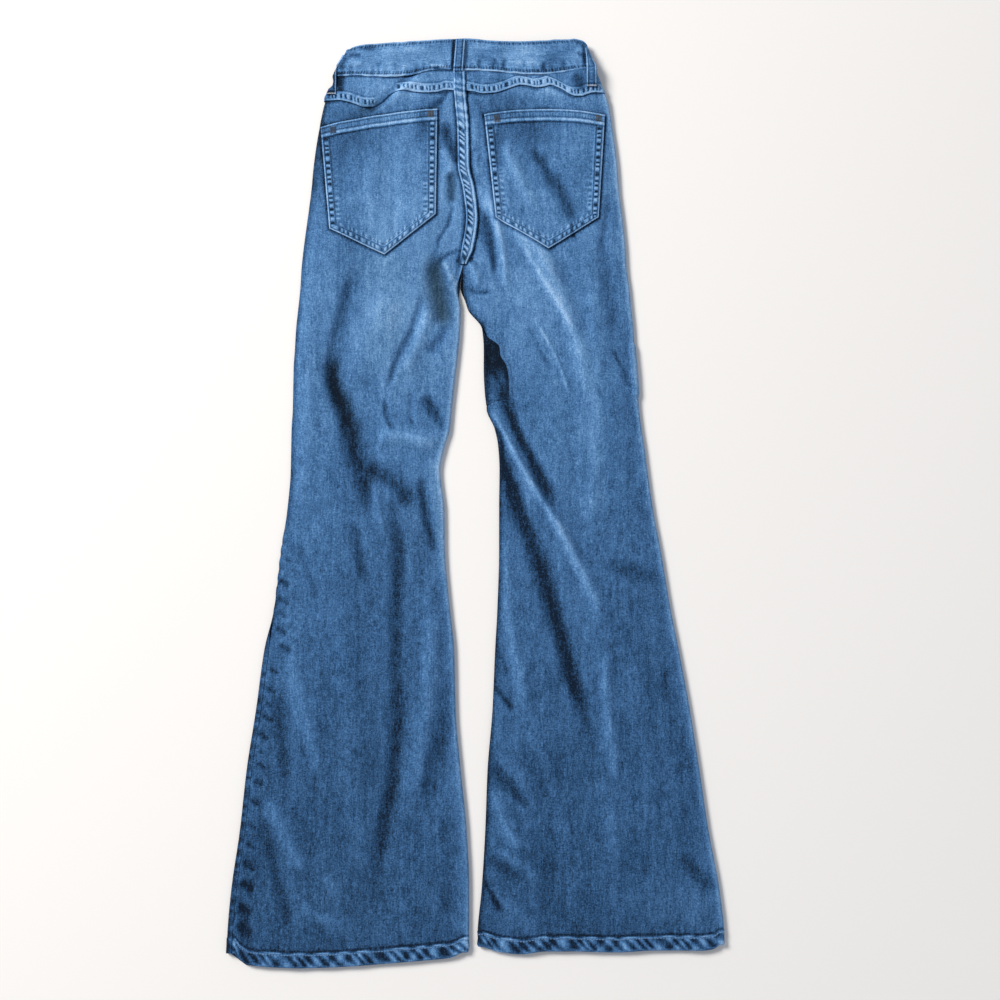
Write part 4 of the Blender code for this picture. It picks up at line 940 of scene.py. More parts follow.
frontPanel = {
    "top": 485.0, "long": 1020.0, "rowStep": 3.2, "middle": 14, "lapRun": 6.0,
    "cells": {"left": (14, 5), "right": (5, 26)},      # across the outer and the inner curl
    "cut": {"left": (0.285, 1.05, 0.216), "right": (0.295, 1.04, 0.207)},
    "creases": (      # of the underside, where a rise is a trough
        (((-185, 300), (-150, 328), (-108, 338)), 8.0, 0.9, 0, -0.14),
        (((-60, 334), (-90, 320), (-125, 298)), 7.0, 0.8, 0, -0.12),
        (((-66, 272), (-100, 262), (-142, 238)), 8.0, 0.9, 0, -0.12),
        (((36, 334), (74, 318), (112, 294)), 7.0, 0.8, 0, -0.13),
        (((28, 270), (62, 258), (102, 234)), 8.0, 0.9, 0, -0.12),
        (((-196, 62), (-188, 50), (-176, 44)), 6.0, 0.5, 0, -0.14),
        (((-64, -60), (-92, -74), (-126, -70)), 8.0, 0.8, 0, -0.12),
        (((66, 62), (98, 70), (140, 58)), 8.0, 0.9, 0, -0.13),
        (((92, 4), (118, -4), (150, -2)), 7.0, 0.7, 0, -0.10),
        (((-176, -150), (-164, -262), (-170, -384)), (7.0, 13.0, 10.0), 0.9, 0, -0.09),
        (((-60, -240), (-64, -330), (-76, -420)), (6.0, 11.0, 9.0), 0.8, 0, -0.07),
        (((128, -190), (136, -300), (150, -420)), (7.0, 13.0, 10.0), 0.9, 0, -0.09),
        (((214, -250), (226, -330), (238, -410)), (6.0, 10.0, 8.0), 0.8, 0, -0.08),
    ),
}


def makeFrontPanel(side):
    seed = 7.0 if side == "left" else 9.0
    halfTurn = math.pi * body["foldRadius"]
    outerCells, innerCells = frontPanel["cells"][side]
    middleCells = frontPanel["middle"]
    top, long = frontPanel["top"], frontPanel["long"]
    count = int((top + 530.0) / frontPanel["rowStep"])
    hemPart = np.linspace(0.0, backPanel["hemSpan"], 8) / long
    rows = np.concatenate([hemPart, np.linspace(hemPart[-1], 1.0, count)[1:]])
    shares = np.concatenate([np.zeros(outerCells + 1), np.linspace(0, 1, middleCells + 1)[1:-1],
                             np.ones(innerCells + 1)])
    lowest = along(hems, side, shares)[None, :]
    y = lowest + (top - lowest) * rows[:, None]
    fromLow = y - lowest
    step = backPanel["step"]
    inside = smooth((body["hemDepth"] + step - fromLow) / step)
    x, z, run = np.zeros(y.shape), lift(y) + 0.0, np.full(y.shape, -1e3)
    ends = {"Outer": (slice(0, outerCells + 1), outerCells),
            "Inner": (slice(len(shares) - innerCells - 1, None), innerCells)}
    for which, (part, cells) in ends.items():
        py = y[:, part]
        seam = seamHalves(side, which, py)[0]
        flap = flapped(py) if side + which == "rightInner" else 0.0
        seam = seam + frontPanel["lapRun"] * flap
        stop = np.where(seam > halfTurn + 2.0, -1.0, np.minimum(0.0, seam - 5.0))
        places = np.linspace(0.0, 1.0, cells + 1)
        run[:, part] = mix(seam, stop, places if which == "Outer" else places[::-1])
        out = 0.5 * inside[:, part] * (run[:, part] > 0.0)
        x[:, part], curled, inCurl, edge = curl(side, which, py, run[:, part], out)
        onTop = topHeight(side, x[:, part], py) + out
        dip = mix(0.0, np.maximum(onTop - 4.6, 0.0), flap)
        onTop = onTop - dip * smooth((run[:, part] - halfTurn + 2.0) / 5.0)
        z[:, part] = np.where(inCurl, curled, onTop)
        if which == "Inner":      # the front stays joined a little lower than the back
            middle = (along(outline, "leftInner", py) + along(outline, "rightInner", py)) / 2.0
            edge = middle - sides[side] * body["seatGap"] / 2.0
            flatX = edge - sides[side] * np.abs(run[:, part] - seam)
            apart = parted(py + 14.0)
            x[:, part] = mix(flatX, x[:, part], apart)
            z[:, part] = mix(lift(py), z[:, part], apart)
    innerPart = slice(outerCells + 1, len(shares) - innerCells - 1)
    start, stop = x[:, outerCells][:, None], x[:, -innerCells - 1][:, None]
    x[:, innerPart] = mix(start, stop, shares[None, innerPart])
    below = smooth((1.0 - run) / 3.0)
    groove = 0.55 * inside * bell(fromLow, backPanel["stitchLine"], 0.9) * below
    extra = below * (unevenness(x, y, 31, 34.0, 120.0, 0.05) + 0.10 * bell(y, 190.0, 130.0))
    extra = extra - below * 0.30 * bell(fromLow, 17.4, 0.9)
    rise, paler = creased(x, y, frontPanel["creases"])
    extra = extra + paler * below
    grid = {"x": x, "y": y, "z": np.maximum(z + rise * below + groove, 0.0), "turned": side == "left"}
    if side == "left":
        near = smooth((run - 2.0) / 4.0) * smooth((-190.0 - y) / 25.0) * (x < -120.0)
        grid["z"] = grid["z"] + near * 0.3 * ripple(y, 13.0, 5.0)
        extra = extra + near * (0.10 * ripple(y, 13.0, 5.0) + 0.05)
    else:
        inseam = nearPath(smoothPath(((13, 142), (24, 124), (36, 103))), 1.7, 0.0, x, y, 0.0)
        atFlap = bell(np.maximum(along(seams, "rightInner", y) - run, 0.0), 0.0, 4.5)
        atFlap = atFlap * smooth((y - 102.0) / 14.0)
        # painted shade on the front panel under the turned-back edge, darkest along the flap's edge
        dark = mix(-0.20, -0.50, smooth((y - 114.0) / 26.0)) - 0.26 * inseam - 0.34 * atFlap
        extra = extra + dark * smooth((run - 2.0) / 5.0) * window(y, 94.0, 176.0, 14.0)
    extra = extra + inside * 0.12 * ripple(x, 9.0, seed)
    hollows = 0.0
    # painted shade, browner, under the turned-back edge
    if side == "right":
        deep = mix(0.05, 0.45, smooth((y - 120.0) / 26.0))
        hollows = deep * smooth((run - 2.0) / 5.0) * window(y, 84.0, 176.0, 16.0)
    crotchShade = window(y, 205.0, 252.0, 10.0) * bell(x, -17.0, 9.0)      # painted shadow, dark and brown
    extra, hollows = extra - 0.45 * crotchShade, hollows + 0.8 * crotchShade
    denimTone(side, grid, extra, hollows, 3, 1.0 - below)
    inHem = fromLow <= body["hemDepth"]
    dress("leg_front_" + side, "cloth_front_" + side, grid, np.where(inHem, 1.8, body["wall"]),
          legDenim)
    grid["u"], grid["v"] = np.arange(x.shape[1]), rows * long
    return grid


frontGrids = {side: makeFrontPanel(side) for side in sides}
print("front panels: made")


# Yokes, lapped over the back panels in a felled seam

yoke = {
    "lap": 10.5, "span": 30.0, "columns": 150, "curlCells": 8, "rowStep": 0.9, "thin": 0.6,
    "ladder": (5.4, 0.38),      # pitch and height of the puckers between its two rows of sewing
    "grooves": ((2.2, 0.7, -0.35), (8.6, 0.7, -0.35)),
    # the last line is a painted shadow just above the lapped seam
    "lines": ((1.0, 0.9, 0.40), (9.8, 0.8, 0.34), (12.0, 1.0, -0.20)),
    "cut": {"left": (0.165, 0.042, 0.0058), "right": (0.176, 0.038, 0.0055)},
}


def makeYoke(side):
    seed = 2.0 if side == "left" else 5.0
    marks = {}
    # painted shadow under the lower edge of the waistband, darker on the left
    bandShadow = 0.46 if side == "left" else 0.22

    def across(share):
        return mix(along(outline, side + "Outer", 485.0), along(outline, side + "Inner", 485.0), share)

    def low(share):
        return along(waist, "yokeSeam", across(share)) - yoke["lap"] / 2.0

    def high(share):
        return along(waist, "bandBottom", across(share)) + 3.0

    def relief(x, y, fromLow, toHigh, run):
        over = 0.6 + body["wall"]
        lap = smooth((yoke["lap"] + 1.2 - fromLow) / 1.2)
        pitch, height = yoke["ladder"]
        rung = ripple(x + 0.1 * y, pitch, seed) * window(fromLow, 3.0, 7.6, 0.8)
        hidden = 1.0 - window(x, -116.0, -100.0, 8.0) if side == "left" else 1.0
        rung = rung * hidden
        grooves = stripes(fromLow, yoke["grooves"])
        edge = -0.6 * bell(fromLow, 0.0, 0.8)
        settle = mix(0.4, over, smooth((toHigh - 8.0) / 12.0))
        worn = stripes(fromLow, yoke["lines"])
        worn = worn + mix(-0.42, 0.24, smooth((rung + 0.62) / 0.5)) * window(fromLow, 2.6, 8.0, 0.8)
        marks["worn"] = worn * hidden - bandShadow * bell(toHigh, 4.0, 1.3)
        under = -0.5 * smooth((4.0 - toHigh) / 4.0)
        return mix(settle, over, lap) + lap * (height * rung + grooves * hidden + edge) + under

    rows = np.linspace(0.0, 1.0, int(yoke["span"] / yoke["rowStep"]) + 1)
    grid = panelGrid(side, low, high, rows, yoke["columns"], yoke["curlCells"], relief)
    denimTone(side, grid, marks["worn"], 0.0, 4)
    dress("yoke_" + side, "cloth_yoke_" + side, grid, body["wall"], seatDenim,
          yoke["thin"])


for side in sides:
    makeYoke(side)
print("yokes: made")


def makePocket(side):
    # A patch with a wide hem along its top and folded-in borders round its other edges.
    place = pocket[side]
    seed = 3.0 if side == "left" else 6.0
    corners = pocketCorners(place)
    width = corners["topRight"][0] - corners["topLeft"][0]
    depth = corners["topLeft"][1] - corners["lowLeft"][1] + place["drop"] * 0.5
    shares = np.linspace(0.0, 1.0, int(width / pocket["cell"]) + 1)
    levels = np.linspace(0.0, 1.0, int((depth + place["drop"] * 0.5) / pocket["cell"]) + 1)
    share, level = np.meshgrid(shares, levels)
    left = [mix(corners["topLeft"][i], corners["lowLeft"][i], level) for i in (0, 1)]
    right = [mix(corners["topRight"][i], corners["lowRight"][i], level) for i in (0, 1)]
    x = mix(left[0], right[0], share)
    tip = place["tip"]
    toTip = np.minimum(share / tip, (1.0 - share) / (1.0 - tip))
    y = mix(left[1], right[1], share) + place["arch"] * 4.0 * share * (1.0 - share) * (1.0 - level)
    y = y - place["drop"] * level * toTip
    full = corners["topLeft"][1] - corners["lowLeft"][1] + place["drop"] * toTip
    fromSide = np.minimum(share, 1.0 - share) * width
    fromTop, fromLow = level * full, (1.0 - level) * full * 0.86
    onSide = fromSide < fromLow * pocket["border"] / pocket["lowBorder"]
    fromEdge = np.where(onSide, fromSide, fromLow * pocket["border"] / pocket["lowBorder"])
    border = smooth((pocket["border"] + pocket["step"] - fromEdge) / pocket["step"])
    hem = smooth((pocket["hem"] + pocket["step"] - fromTop) / pocket["step"])
    pitch, height = pocket["ladder"]
    runAlong = np.where(onSide, y, x * 1.15)
    strength = np.where(onSide, 1.0, 0.75)
    rung = ripple(runAlong, pitch, seed) * window(fromEdge, 3.6, 7.6, 0.9) * (1.0 - hem) * strength
    grooves = stripes(fromEdge, pocket["grooves"])
    hemGrooves = stripes(fromTop, pocket["hemGrooves"]) * hem
    rim = np.minimum(fromSide, np.minimum(fromLow, fromTop))
    edge = -0.8 * bell(rim, 0.0, 0.8)
    raised = np.maximum(border, hem)
    middle = unevenness(x, y, 17, 18.0, 60.0, 0.25) * (1.0 - raised)
    pull = ripple(runAlong + 3.0, pitch * 0.9, seed + 1.0) * bell(fromEdge, 14.0, 2.6)
    pull = pull * (1.0 - hem)
    out = pocket["gap"] + body["wall"] + pocket["raise"] * raised + edge + middle + 0.2 * pull
    out = out + (height * rung + grooves) * border * (1.0 - hem) + hemGrooves
    grid = {"x": x, "y": y, "z": topHeight(side, x, y) + out, "turned": True}
    worn = stripes(fromEdge, pocket["lines"])
    lowPart = smooth((level - 0.45) / 0.3)
    worn = worn * (1.0 - hem) + 0.30 * np.clip(rung, 0.0, 1.0) - 0.60 * np.clip(-rung, 0.0, 1.0)
    worn = worn + 0.05 * pull + lowPart * (0.26 * np.clip(pull, 0.0, 1.0) - 0.12 * np.clip(-pull, 0.0, 1.0))
    worn = worn + stripes(fromTop, pocket["hemLines"])
    worn = worn + 0.12 * ripple(x, 3.0, seed + 2.0) * window(fromTop, 4.2, 8.4, 0.6) + 0.04 * raised
    worn = worn + 0.06 * hem
    worn = worn + 0.24 * bell(fromSide, 0.9, 0.8) * hem
    fade = 0.10 * bell(share, tip, 0.42) * bell(level, 0.72, 0.34)
    worn = worn + (fade if side == "left" else 0.3 * fade)
    denimTone(side, grid, worn, 0.0, 5)
    wall = body["wall"] + pocket["raise"] * raised
    dress("pocket_back_" + side, "cloth_pocket_" + side, grid, wall, seatDenim,
          pocket["thin"])
    grid["u"], grid["v"] = shares, levels
    grid["width"], grid["depth"] = width, depth
    return grid


pocketGrids = {side: makePocket(side) for side in sides}
print("pockets: made")


# Seat seam, a felled strip twisted into a rope by its two rows of sewing

seatSeam = {
    "width": 14.5, "end": 258.0, "cell": 0.8, "thin": 0.6, "rope": (7.6, 0.7, 0.9),
    "cut": (0.0145, 0.243, None), "grooves": ((-4.9, 0.7, -0.35), (2.6, 0.7, -0.35)),
    # the last line is a painted shadow along the seam's edge
    "lines": ((-6.3, 0.8, 0.22), (-4.9, 0.6, -0.20), (2.6, 0.7, -0.24), (4.6, 0.9, 0.44),
              (6.6, 0.6, -0.36)),
}


def makeSeatSeam():
    top = along(waist, "bandBottom", -11.0) - 0.6
    span = top - seatSeam["end"]
    rows = np.linspace(0.0, 1.0, int(span / seatSeam["cell"]) + 1)
    shares = np.linspace(-1.0, 1.0, 25)
    share, y = np.meshgrid(shares, seatSeam["end"] + rows * span)
    mid = along(outline, "leftInner", y)
    half = seatSeam["width"] / 2.0 * mix(0.6, 1.0, smooth((y - seatSeam["end"]) / 20.0))
    x = mid + half * share
    over = 0.6 + body["wall"]
    yokeLow = along(waist, "yokeSeam", -20.0) - yoke["lap"] / 2.0
    onYoke, higher = smooth((y - yokeLow + 10.0) / 8.0), smooth((y - yokeLow - 10.0) / 8.0)
    overYoke = over * onYoke * mix(1.0, 0.55, higher)
    pitch, height, slant = seatSeam["rope"]
    off = share * seatSeam["width"] / 2.0
    inRope = window(off, -4.2, 1.2, 1.0) * (1.0 - 0.7 * window(y, 440.0, 520.0, 12.0))
    rope = ripple(y + slant * (x - mid), pitch, 2.5) * inRope
    grooves = stripes(off, seatSeam["grooves"])
    edge = -0.7 * bell(np.abs(share), 1.0, 0.1)
    out = over + overYoke + 0.5 * (1.0 - share ** 2) + height * rope + grooves + edge
    z = np.where(share < 0, topHeight("left", x, y), topHeight("right", x, y)) + out
    grid = {"x": x, "y": y, "z": z}
    atFoot = smooth((y - seatSeam["end"]) / 22.0)
    worn = stripes(off, seatSeam["lines"])
    worn = worn * np.where(off < 0.0, atFoot, 1.0)
    worn = worn + 0.40 * np.clip(rope, 0.0, 1.0) ** 2 - 0.52 * np.clip(0.35 - rope, 0.0, 1.0) * inRope
    lumps = window(y, 430.0, 520.0, 14.0) * ripple(y + 0.2 * off, 11.0, 6.0)
    worn = worn + 0.20 * lumps
    # painted shade at the seam's foot, in the crotch fold, and in the rope's twists
    worn = worn - 0.30 * (1.0 - atFoot) * (off < 3.4)
    denimTone("left", grid, worn, 0.15 * np.clip(-rope, 0, 1) + 0.3 * (1.0 - atFoot), 4)
    dress("seat_seam", "cloth_seat_seam", grid, body["wall"], seamDenim,
          seatSeam["thin"])
    grid["u"], grid["v"] = shares, rows
    return grid


seatGrid = makeSeatSeam()
print("seat seam: made")


# Waistband, one strip from the fly round the left end, across the back and round to the fly

band = {
    "radius": 3.8, "wall": 1.8, "dome": 2.2, "left": (-170.5, -156.0), "right": (146.5, 134.0),
    "frontBottom": 499.0, "frontTop": 527.0, "dip": 12.0, "flyX": -16.0, "flyLap": 34.0,
    "backColumns": 400, "foldColumns": 12, "frontColumns": 34, "tick": (3.4, 0.42),
    "tall": 38.0, "cut": (0.66, 0.038, None), "edge": ((0.0, 0.9, -0.7), (2.2, 0.7, -0.4)),
    # the darkest rows, beside the belt loops, are painted shadows
    "creases": (
        (((-154, 516), (-146, 518), (-137, 517)), 2.4, -1.5, 0, -0.28),
        (((-156, 509), (-146, 507), (-134, 509)), 3.4, 1.3, 0, 0.06),
        (((-155, 524), (-160, 512), (-163, 498)), (3.0, 5.0, 4.0), -1.0, 0, -0.46),
        (((-140, 527), (-128, 525), (-116, 526)), 2.6, -0.8, 0, -0.10),
        (((-56, 504), (-47, 503), (-31, 501)), 2.2, 1.6, 0, 0.42),
        (((-52, 500), (-43, 499), (-26, 495)), 2.6, -1.0, 0, -0.55),
        (((-25.5, 544), (-27, 518), (-28, 488)), (2.0, 2.2, 2.6), -0.8, 0, -0.95),
        (((-9, 540), (-10, 518), (-12, 494)), 1.6, -0.4, 0, -0.12),
        (((122, 520), (128, 518), (134, 515)), 2.6, -1.4, 0, -0.24),
        (((120, 527), (127, 524), (134, 522)), 2.4, 1.0, 0, 0.06),
        (((130, 536), (131, 514), (131, 496)), (2.4, 2.6, 2.6), -1.0, 0, -0.60),
        (((120, 533), (126, 532), (130, 528)), 2.4, -0.6, 0, -0.24),
        (((-110, 520), (-80, 522), (-52, 524)), 5.0, 0.7, 0, 0.05),
        (((10, 520), (50, 522), (96, 520)), 6.0, -0.6, 0, 0.03),
        (((-122, 503), (-116, 506), (-112, 511)), 2.6, -0.4, 0, -0.20),
        (((-96, 497), (-97, 503), (-95, 508)), 2.4, -0.4, 0, -0.20),
        (((2, 500), (4, 507), (3, 513)), 2.6, -0.5, 0, -0.22),
        (((20, 499), (22, 506), (24, 513)), 2.6, -0.5, 0, -0.26),
        (((32, 498), (34, 506), (36, 514)), 2.6, -0.5, 0, -0.26),
        (((56, 497), (58, 505), (58, 512)), 2.6, -0.5, 0, -0.20),
        (((80, 497), (82, 504), (81, 510)), 2.6, -0.5, 0, -0.30),
        (((104, 499), (106, 506), (104, 512)), 2.6, -0.5, 0, -0.20),
    ),
}


def frontBandEdge(x, edge, dip):      # edge of the front of the band, lowest at its middle
    half = (band["right"][0] - band["left"][0]) / 2.0
    middle = (band["right"][0] + band["left"][0]) / 2.0
    return edge - dip * (1.0 - np.minimum(np.abs(x - middle) / half, 1.0) ** 2) ** 2


def makeWaistband():
    radius, lifted = band["radius"], body["bandLift"]
    tall = band["tall"]
    near = np.linspace(0.0, 7.0, 12)      # closer rows along both edges, where the sewing is
    level = np.concatenate([near, np.linspace(7.0, tall - 7.0, 17)[1:-1], tall - near[::-1]])
    level = level[:, None] / tall

    def front(ends, inward, share, inner):
        start = mix(ends[0], ends[1], level) + inward * radius
        x = mix(start, band["flyX"] + inward * band["flyLap"] / 2.0, share)
        low = frontBandEdge(x, band["frontBottom"], band["dip"])
        high = frontBandEdge(x, band["frontTop"], 1.0)
        over = (band["wall"] + body["gap"]) * smooth((share - 0.6) / 0.16) if inner else 0.0
        return x, mix(low, high, level), lifted + over + 0.0 * x

    def fold(ends, inward, turn):
        edge = mix(ends[0], ends[1], level)
        low = mix(band["frontBottom"], along(waist, "bandBottom", ends[0]), turn) + np.sin(np.pi * turn)
        high = mix(band["frontTop"], along(waist, "bandTop", ends[1] + inward * radius), turn)
        x = edge + inward * radius * (1.0 - np.sin(np.pi * turn))
        return x, mix(low, high, level), lifted + radius * (1.0 - np.cos(np.pi * turn)) + 0.0 * x

    def back(share):
        lowX = mix(band["left"][0] + radius, band["right"][0] - radius, share)
        highX = mix(band["left"][1] + radius, band["right"][1] - radius, share)
        x = mix(lowX, highX, level)
        low, high = along(waist, "bandBottom", lowX), along(waist, "bandTop", highX)
        rise = smooth(share / 0.3) * smooth((1.0 - share) / 0.3)
        return x, mix(low, high, level), lifted + 2.0 * radius + band["dome"] * rise + 0.0 * x

    frontShares = np.linspace(0.0, 1.0, band["frontColumns"] + 1)[None, :]
    turns = np.linspace(0.0, 1.0, band["foldColumns"] + 2)[None, 1:-1]
    backShares = np.linspace(0.0, 1.0, band["backColumns"] + 1)[None, :]
    parts = [front(band["left"], 1, frontShares[:, ::-1], False), fold(band["left"], 1, turns),
             back(backShares), fold(band["right"], -1, turns[:, ::-1]),
             front(band["right"], -1, frontShares, True)]
    x, y, z = (np.concatenate([part[i] for part in parts], 1) for i in range(3))
    noFront, rising = np.zeros(band["frontColumns"] + 1), smooth(turns[0])
    onBack = np.concatenate([noFront, rising, np.ones(band["backColumns"] + 1),
                             smooth(turns[0][::-1]), noFront])[None, :]
    run = np.concatenate([[0.0], np.cumsum(np.hypot(np.diff(x[10]), np.diff(z[10])))])[None, :]
    fromLow, fromTop = level * tall + 0.0 * x, (1.0 - level) * tall + 0.0 * x
    pucker = ripple(run + 0.25 * fromLow, 11.0, 1.4) * bell(fromLow, 6.0, 5.5)
    pucker = 0.5 * pucker + 0.22 * ripple(run, 7.0, 4.0) * bell(fromTop, 4.0, 4.0)
    edges = stripes(fromLow, band["edge"]) + stripes(fromTop, band["edge"])
    rise, paler = creased(x, y, band["creases"])
    z = z + (pucker + edges + unevenness(x, y, 5, 16.0, 50.0, 0.35) + rise) * onBack
    grid = {"x": x, "y": y, "z": np.maximum(z, lifted)}
    # painted highlight along the lower edge, partly also worn
    paleEdge = 0.74 * bell(fromLow, 0.7, 0.9) * (1.0 - 0.7 * window(x, -84.0, -30.0, 6.0))
    pitch, depth = band["tick"]      # the band is drawn in at each of its stitches
    ticks = 0.5 + 0.5 * ripple(run + 0.0 * x, pitch, 0.6)
    worn = 0.10 * pucker * onBack + paleEdge - depth * ticks * window(fromLow, 2.2, 5.2, 0.8)
    worn = worn - depth * ticks * window(fromTop, 2.0, 4.2, 0.8) + 0.14 * bell(fromTop, 0.8, 0.7)
    streaks = unevenness(0.35 * run + 0.0 * x, 5.0 * fromLow, 21, 14.0, 44.0, 0.10)
    worn = worn + 0.02 + paler * onBack + streaks
    denimTone("left", grid, worn, 0.0, 4)
    dress("waistband", "cloth_waistband", grid, band["wall"], bandDenim)
    grid["u"], grid["v"] = run[0], level[:, 0] * tall
    return grid


bandGrid = makeWaistband()
print("waistband: made")


# Belt loops

loops = {
    "width": 11.5, "wall": 1.6, "cell": 0.8,
    "back": (496.5, 536.0), "left": (467.5, 519.5), "right": (477.0, 526.0),      # ends along y
    "frontX": {"left": -92.0, "right": 68.0},
    "onBand": body["bandLift"] + 2.0 * band["radius"] + band["dome"],      # the band's highest part
    "rim": ((-1.2, 0.8, 0.3), (0.0, 0.5, -0.7), (-2.6, 0.6, -0.25)),      # from the edge inwards
    "pale": ((-0.8, 0.8, 1.0), (-2.6, 0.7, -0.6)),
}


def makeLoop(which, x, y, z, across, rims=(0.42, 0.42), under=False):
    # A folded strip: its edges rolled and rubbed pale, its middle lower, barred at the ends.
    length = y[:, :1] - y[0, 0]
    tall = length[-1, 0]
    half = loops["width"] / 2.0
    off = np.abs(across) * half
    rung = ripple(length + 0.0 * x, 4.2, len("belt_strap_" + which)) * window(off, -1.0, 2.2, 0.8)
    ends = bell(length, 0.0, 2.0) + bell(length, tall, 2.0)
    relief = stripes(off - half, loops["rim"]) + 0.12 * rung - 0.3 * ends
    grid = {"x": x, "y": y, "z": z - relief if under else z + relief, "turned": under}
    rim = np.where(across < 0.0, rims[0], rims[1])
    worn = rim * stripes(off - half, loops["pale"])
    # painted shadow just above the foot
    worn = worn + 0.07 * rung - 0.10 - 0.40 * bell(length, 3.4, 1.0)
    denimTone("left", grid, worn, 0.0, 2)
    dress("belt_loop_" + which, "belt_strap_" + which, grid, loops["wall"], seamDenim)
    grid["u"], grid["v"] = across[0], length[:, 0]
    return grid


def makeBackLoop():
    low, high = loops["back"]
    count = int((high - low) / loops["cell"])
    across, y = np.meshgrid(np.linspace(-1, 1, 23), np.linspace(low, high, count))
    share = (y - low) / (high - low)
    x = mix(-21.2, -18.4, share) + loops["width"] / 2.0 * across
    z = loops["onBand"] + 0.9 + loops["wall"] + 1.4 * np.sin(np.pi * share)
    return makeLoop("back", x, y, z, across, (0.26, 0.66))


def makeLeftLoop():
    # It lies on the yoke at its foot and turns round the folded end of the band above.
    y = np.linspace(*loops["left"], 61)[:, None]
    rightEdge = np.interp(y, (467.0, 501.5, 509.0, 516.7, 521.8),
                          (-167.3, -167.7, -166.6, -162.5, -158.4))
    bandX = mix(band["left"][0], band["left"][1], np.clip((y - 492.0) / 36.0, 0.0, 1.0))
    legX = along(outline, "leftOuter", y) + 0.8
    edge = mix(legX, bandX, smooth((y - 482.0) / 12.0))
    radius, out = band["radius"], loops["wall"] + mix(0.9, -1.2, smooth((y - 502.0) / 16.0))
    run = np.linspace(loops["width"], 0.0, 22)[None, :]
    flat = rightEdge - edge - radius
    turn = np.clip((run - np.maximum(flat, 0.0)) / (radius + out), 0.0, math.pi)
    start = np.arcsin(np.clip(-flat / (radius + out), 0.0, 1.0))
    turn = turn + start
    x = np.where(run < flat, rightEdge - run, edge + radius - (radius + out) * np.sin(turn))
    z = body["bandLift"] + radius + (radius + out) * np.cos(turn)
    across = np.linspace(-1, 1, x.shape[1])[None, :] + 0.0 * y
    return makeLoop("left", x, y + 0.0 * x, np.maximum(z, 0.2), across, (0.1, 0.8))


def makeRightLoop():
    low, high = loops["right"]
    across, y = np.meshgrid(np.linspace(-1, 1, 23), np.linspace(low, high, 62))
    share = (y - low) / (high - low)
    left = 132.9 - 0.8 * smooth((share - 0.7) / 0.3)
    right = np.minimum(145.0, mix(145.4, 133.8, np.clip((y - 503.0) / 23.0, 0.0, 1.0)))
    x = mix(left, right, (across + 1.0) / 2.0)
    z = loops["onBand"] + loops["wall"] + 0.9 * np.sin(np.pi * share)
    z = z - 2.4 * smooth((across + 0.1) / 1.1) * smooth((share - 0.3) / 0.5)
    return makeLoop("right", x, y, z, across)


def makeFrontLoop(side):      # under the front of the band, pressed flat by it
    middle = loops["frontX"][side]
    low = frontBandEdge(middle, band["frontBottom"], band["dip"]) - 1.0
    high = frontBandEdge(middle, band["frontTop"], 1.0) - 1.0
    count = int((high - low) / loops["cell"])
    across, y = np.meshgrid(np.linspace(-1, 1, 19), np.linspace(low, high, count))
    x = middle + loops["width"] / 2.0 * across
    z = 0.32 + 0.0 * x
    makeLoop("front_" + side, x, y, z, across, under=True)


loopGrids = [makeBackLoop(), makeLeftLoop(), makeRightLoop()]
for side in sides:
    makeFrontLoop(side)
print("belt loops: made")


# Sewing

def sew(name, rows, material):
    addStitches(name, rows, material)


stitches = {      # pitch, length and width of a stitch, and how deep it sinks in
    "pocket": (2.9, 2.1, 0.6, 0.15), "pocketHem": (2.6, 1.9, 0.6, 0.15), "hem": (3.4, 2.6, 0.8, 0.15),
    "frontHem": (3.4, 2.6, 0.7, 0.1), "waistband": (3.3, 2.1, 0.7, 0.15), "seat": (3.0, 2.2, 0.6, 0.15),
    "bartack": (1.8, 2.2, 0.9, 0.05), "loopFoot": (1.7, 1.9, 0.8, 0.0),
}


def row(grid, kind, path):
    return (*pathOn(grid, path), *stitches[kind])


def bars(grid, u, v, width, height, pitch):      # a bartack: stitches side by side in a block
    levels = np.arange(0.0, height, pitch)
    return [row(grid, "bartack", [(u, v + at), (u + width, v + at)]) for at in levels]


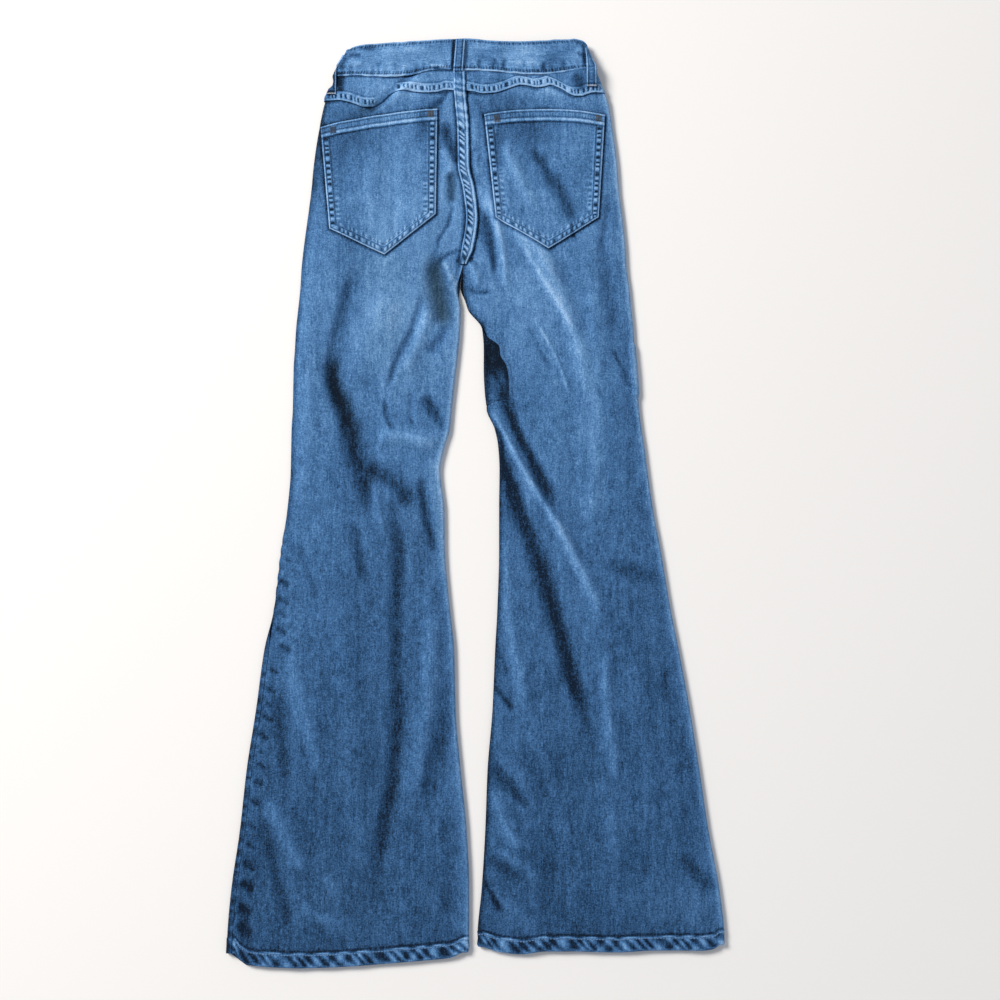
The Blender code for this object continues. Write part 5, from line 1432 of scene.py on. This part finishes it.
for side in sides:
    grid = pocketGrids[side]
    wide, deep = grid["width"], grid["depth"]
    rows = []
    for inset in (2.5, 9.6):
        u, v = inset / wide, 1.0 - inset / (deep * 0.9)
        top = 0.02 if inset < 5 else 16.5 / deep
        rows.append(row(grid, "pocket", [(u, top), (u, v), (1 - u, v), (1 - u, top)]))
    rows += [row(grid, "pocketHem", [(0.02, at / deep), (0.98, at / deep)]) for at in (3.0, 9.0)]
    sew("sewing_pocket_" + side, rows, darkThread)
    tacks = (("start", 11.4 / wide, 5.0, 8.0, 8.8), ("end", 1.0 - 11.0 / wide, 2.8, 7.6, 9.0))
    for end, u, v, across, down in tacks:
        dirty = side == "left" and end == "start"
        rows = bars(grid, u, v / deep, across / wide, down / deep, (0.9 if dirty else 1.3) / deep)
        sew("bartack_pocket_%s_%s" % (side, end), rows, darkThread if dirty else tanThread)
    grid = backGrids[side]
    line = backPanel["stitchLine"]
    path = [(1, line), (grid["x"].shape[1] - 2, line)]
    sew("sewing_hem_back_" + side, [row(grid, "hem", path)], paleThread)
    grid = frontGrids[side]
    ends = [cells + 1 for cells in frontPanel["cells"][side]]
    path = [(ends[0], line), (grid["x"].shape[1] - 1 - ends[1], line)]
    sew("sewing_hem_front_" + side, [row(grid, "frontHem", path)], paleThread)
for label, at in (("lower", 3.2), ("upper", 35.4)):
    ends = (bandGrid["u"][0] + 2.0, bandGrid["u"][-1] - 2.0)
    rows = [row(bandGrid, "waistband", [(ends[0], at), (ends[1], at)])]
    sew("sewing_waistband_" + label, rows, darkThread)
for name, at in (("left", -0.68), ("right", 0.36)):
    sew("sewing_seat_" + name, [row(seatGrid, "seat", [(at, 0.01), (at, 0.99)])], darkThread)
for name, grid in zip(("left", "right"), loopGrids[1:]):      # bars of zigzag at the feet
    rows = [row(grid, "loopFoot", [(-0.94, at), (0.94, at)]) for at in (0.6, 1.3)]
    sew("bartack_loop_" + name, rows, wornThread)
print("sewing: made")

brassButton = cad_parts["waist_button"]
brassButton.data.materials.clear()
brassButton.data.materials.append(brass)
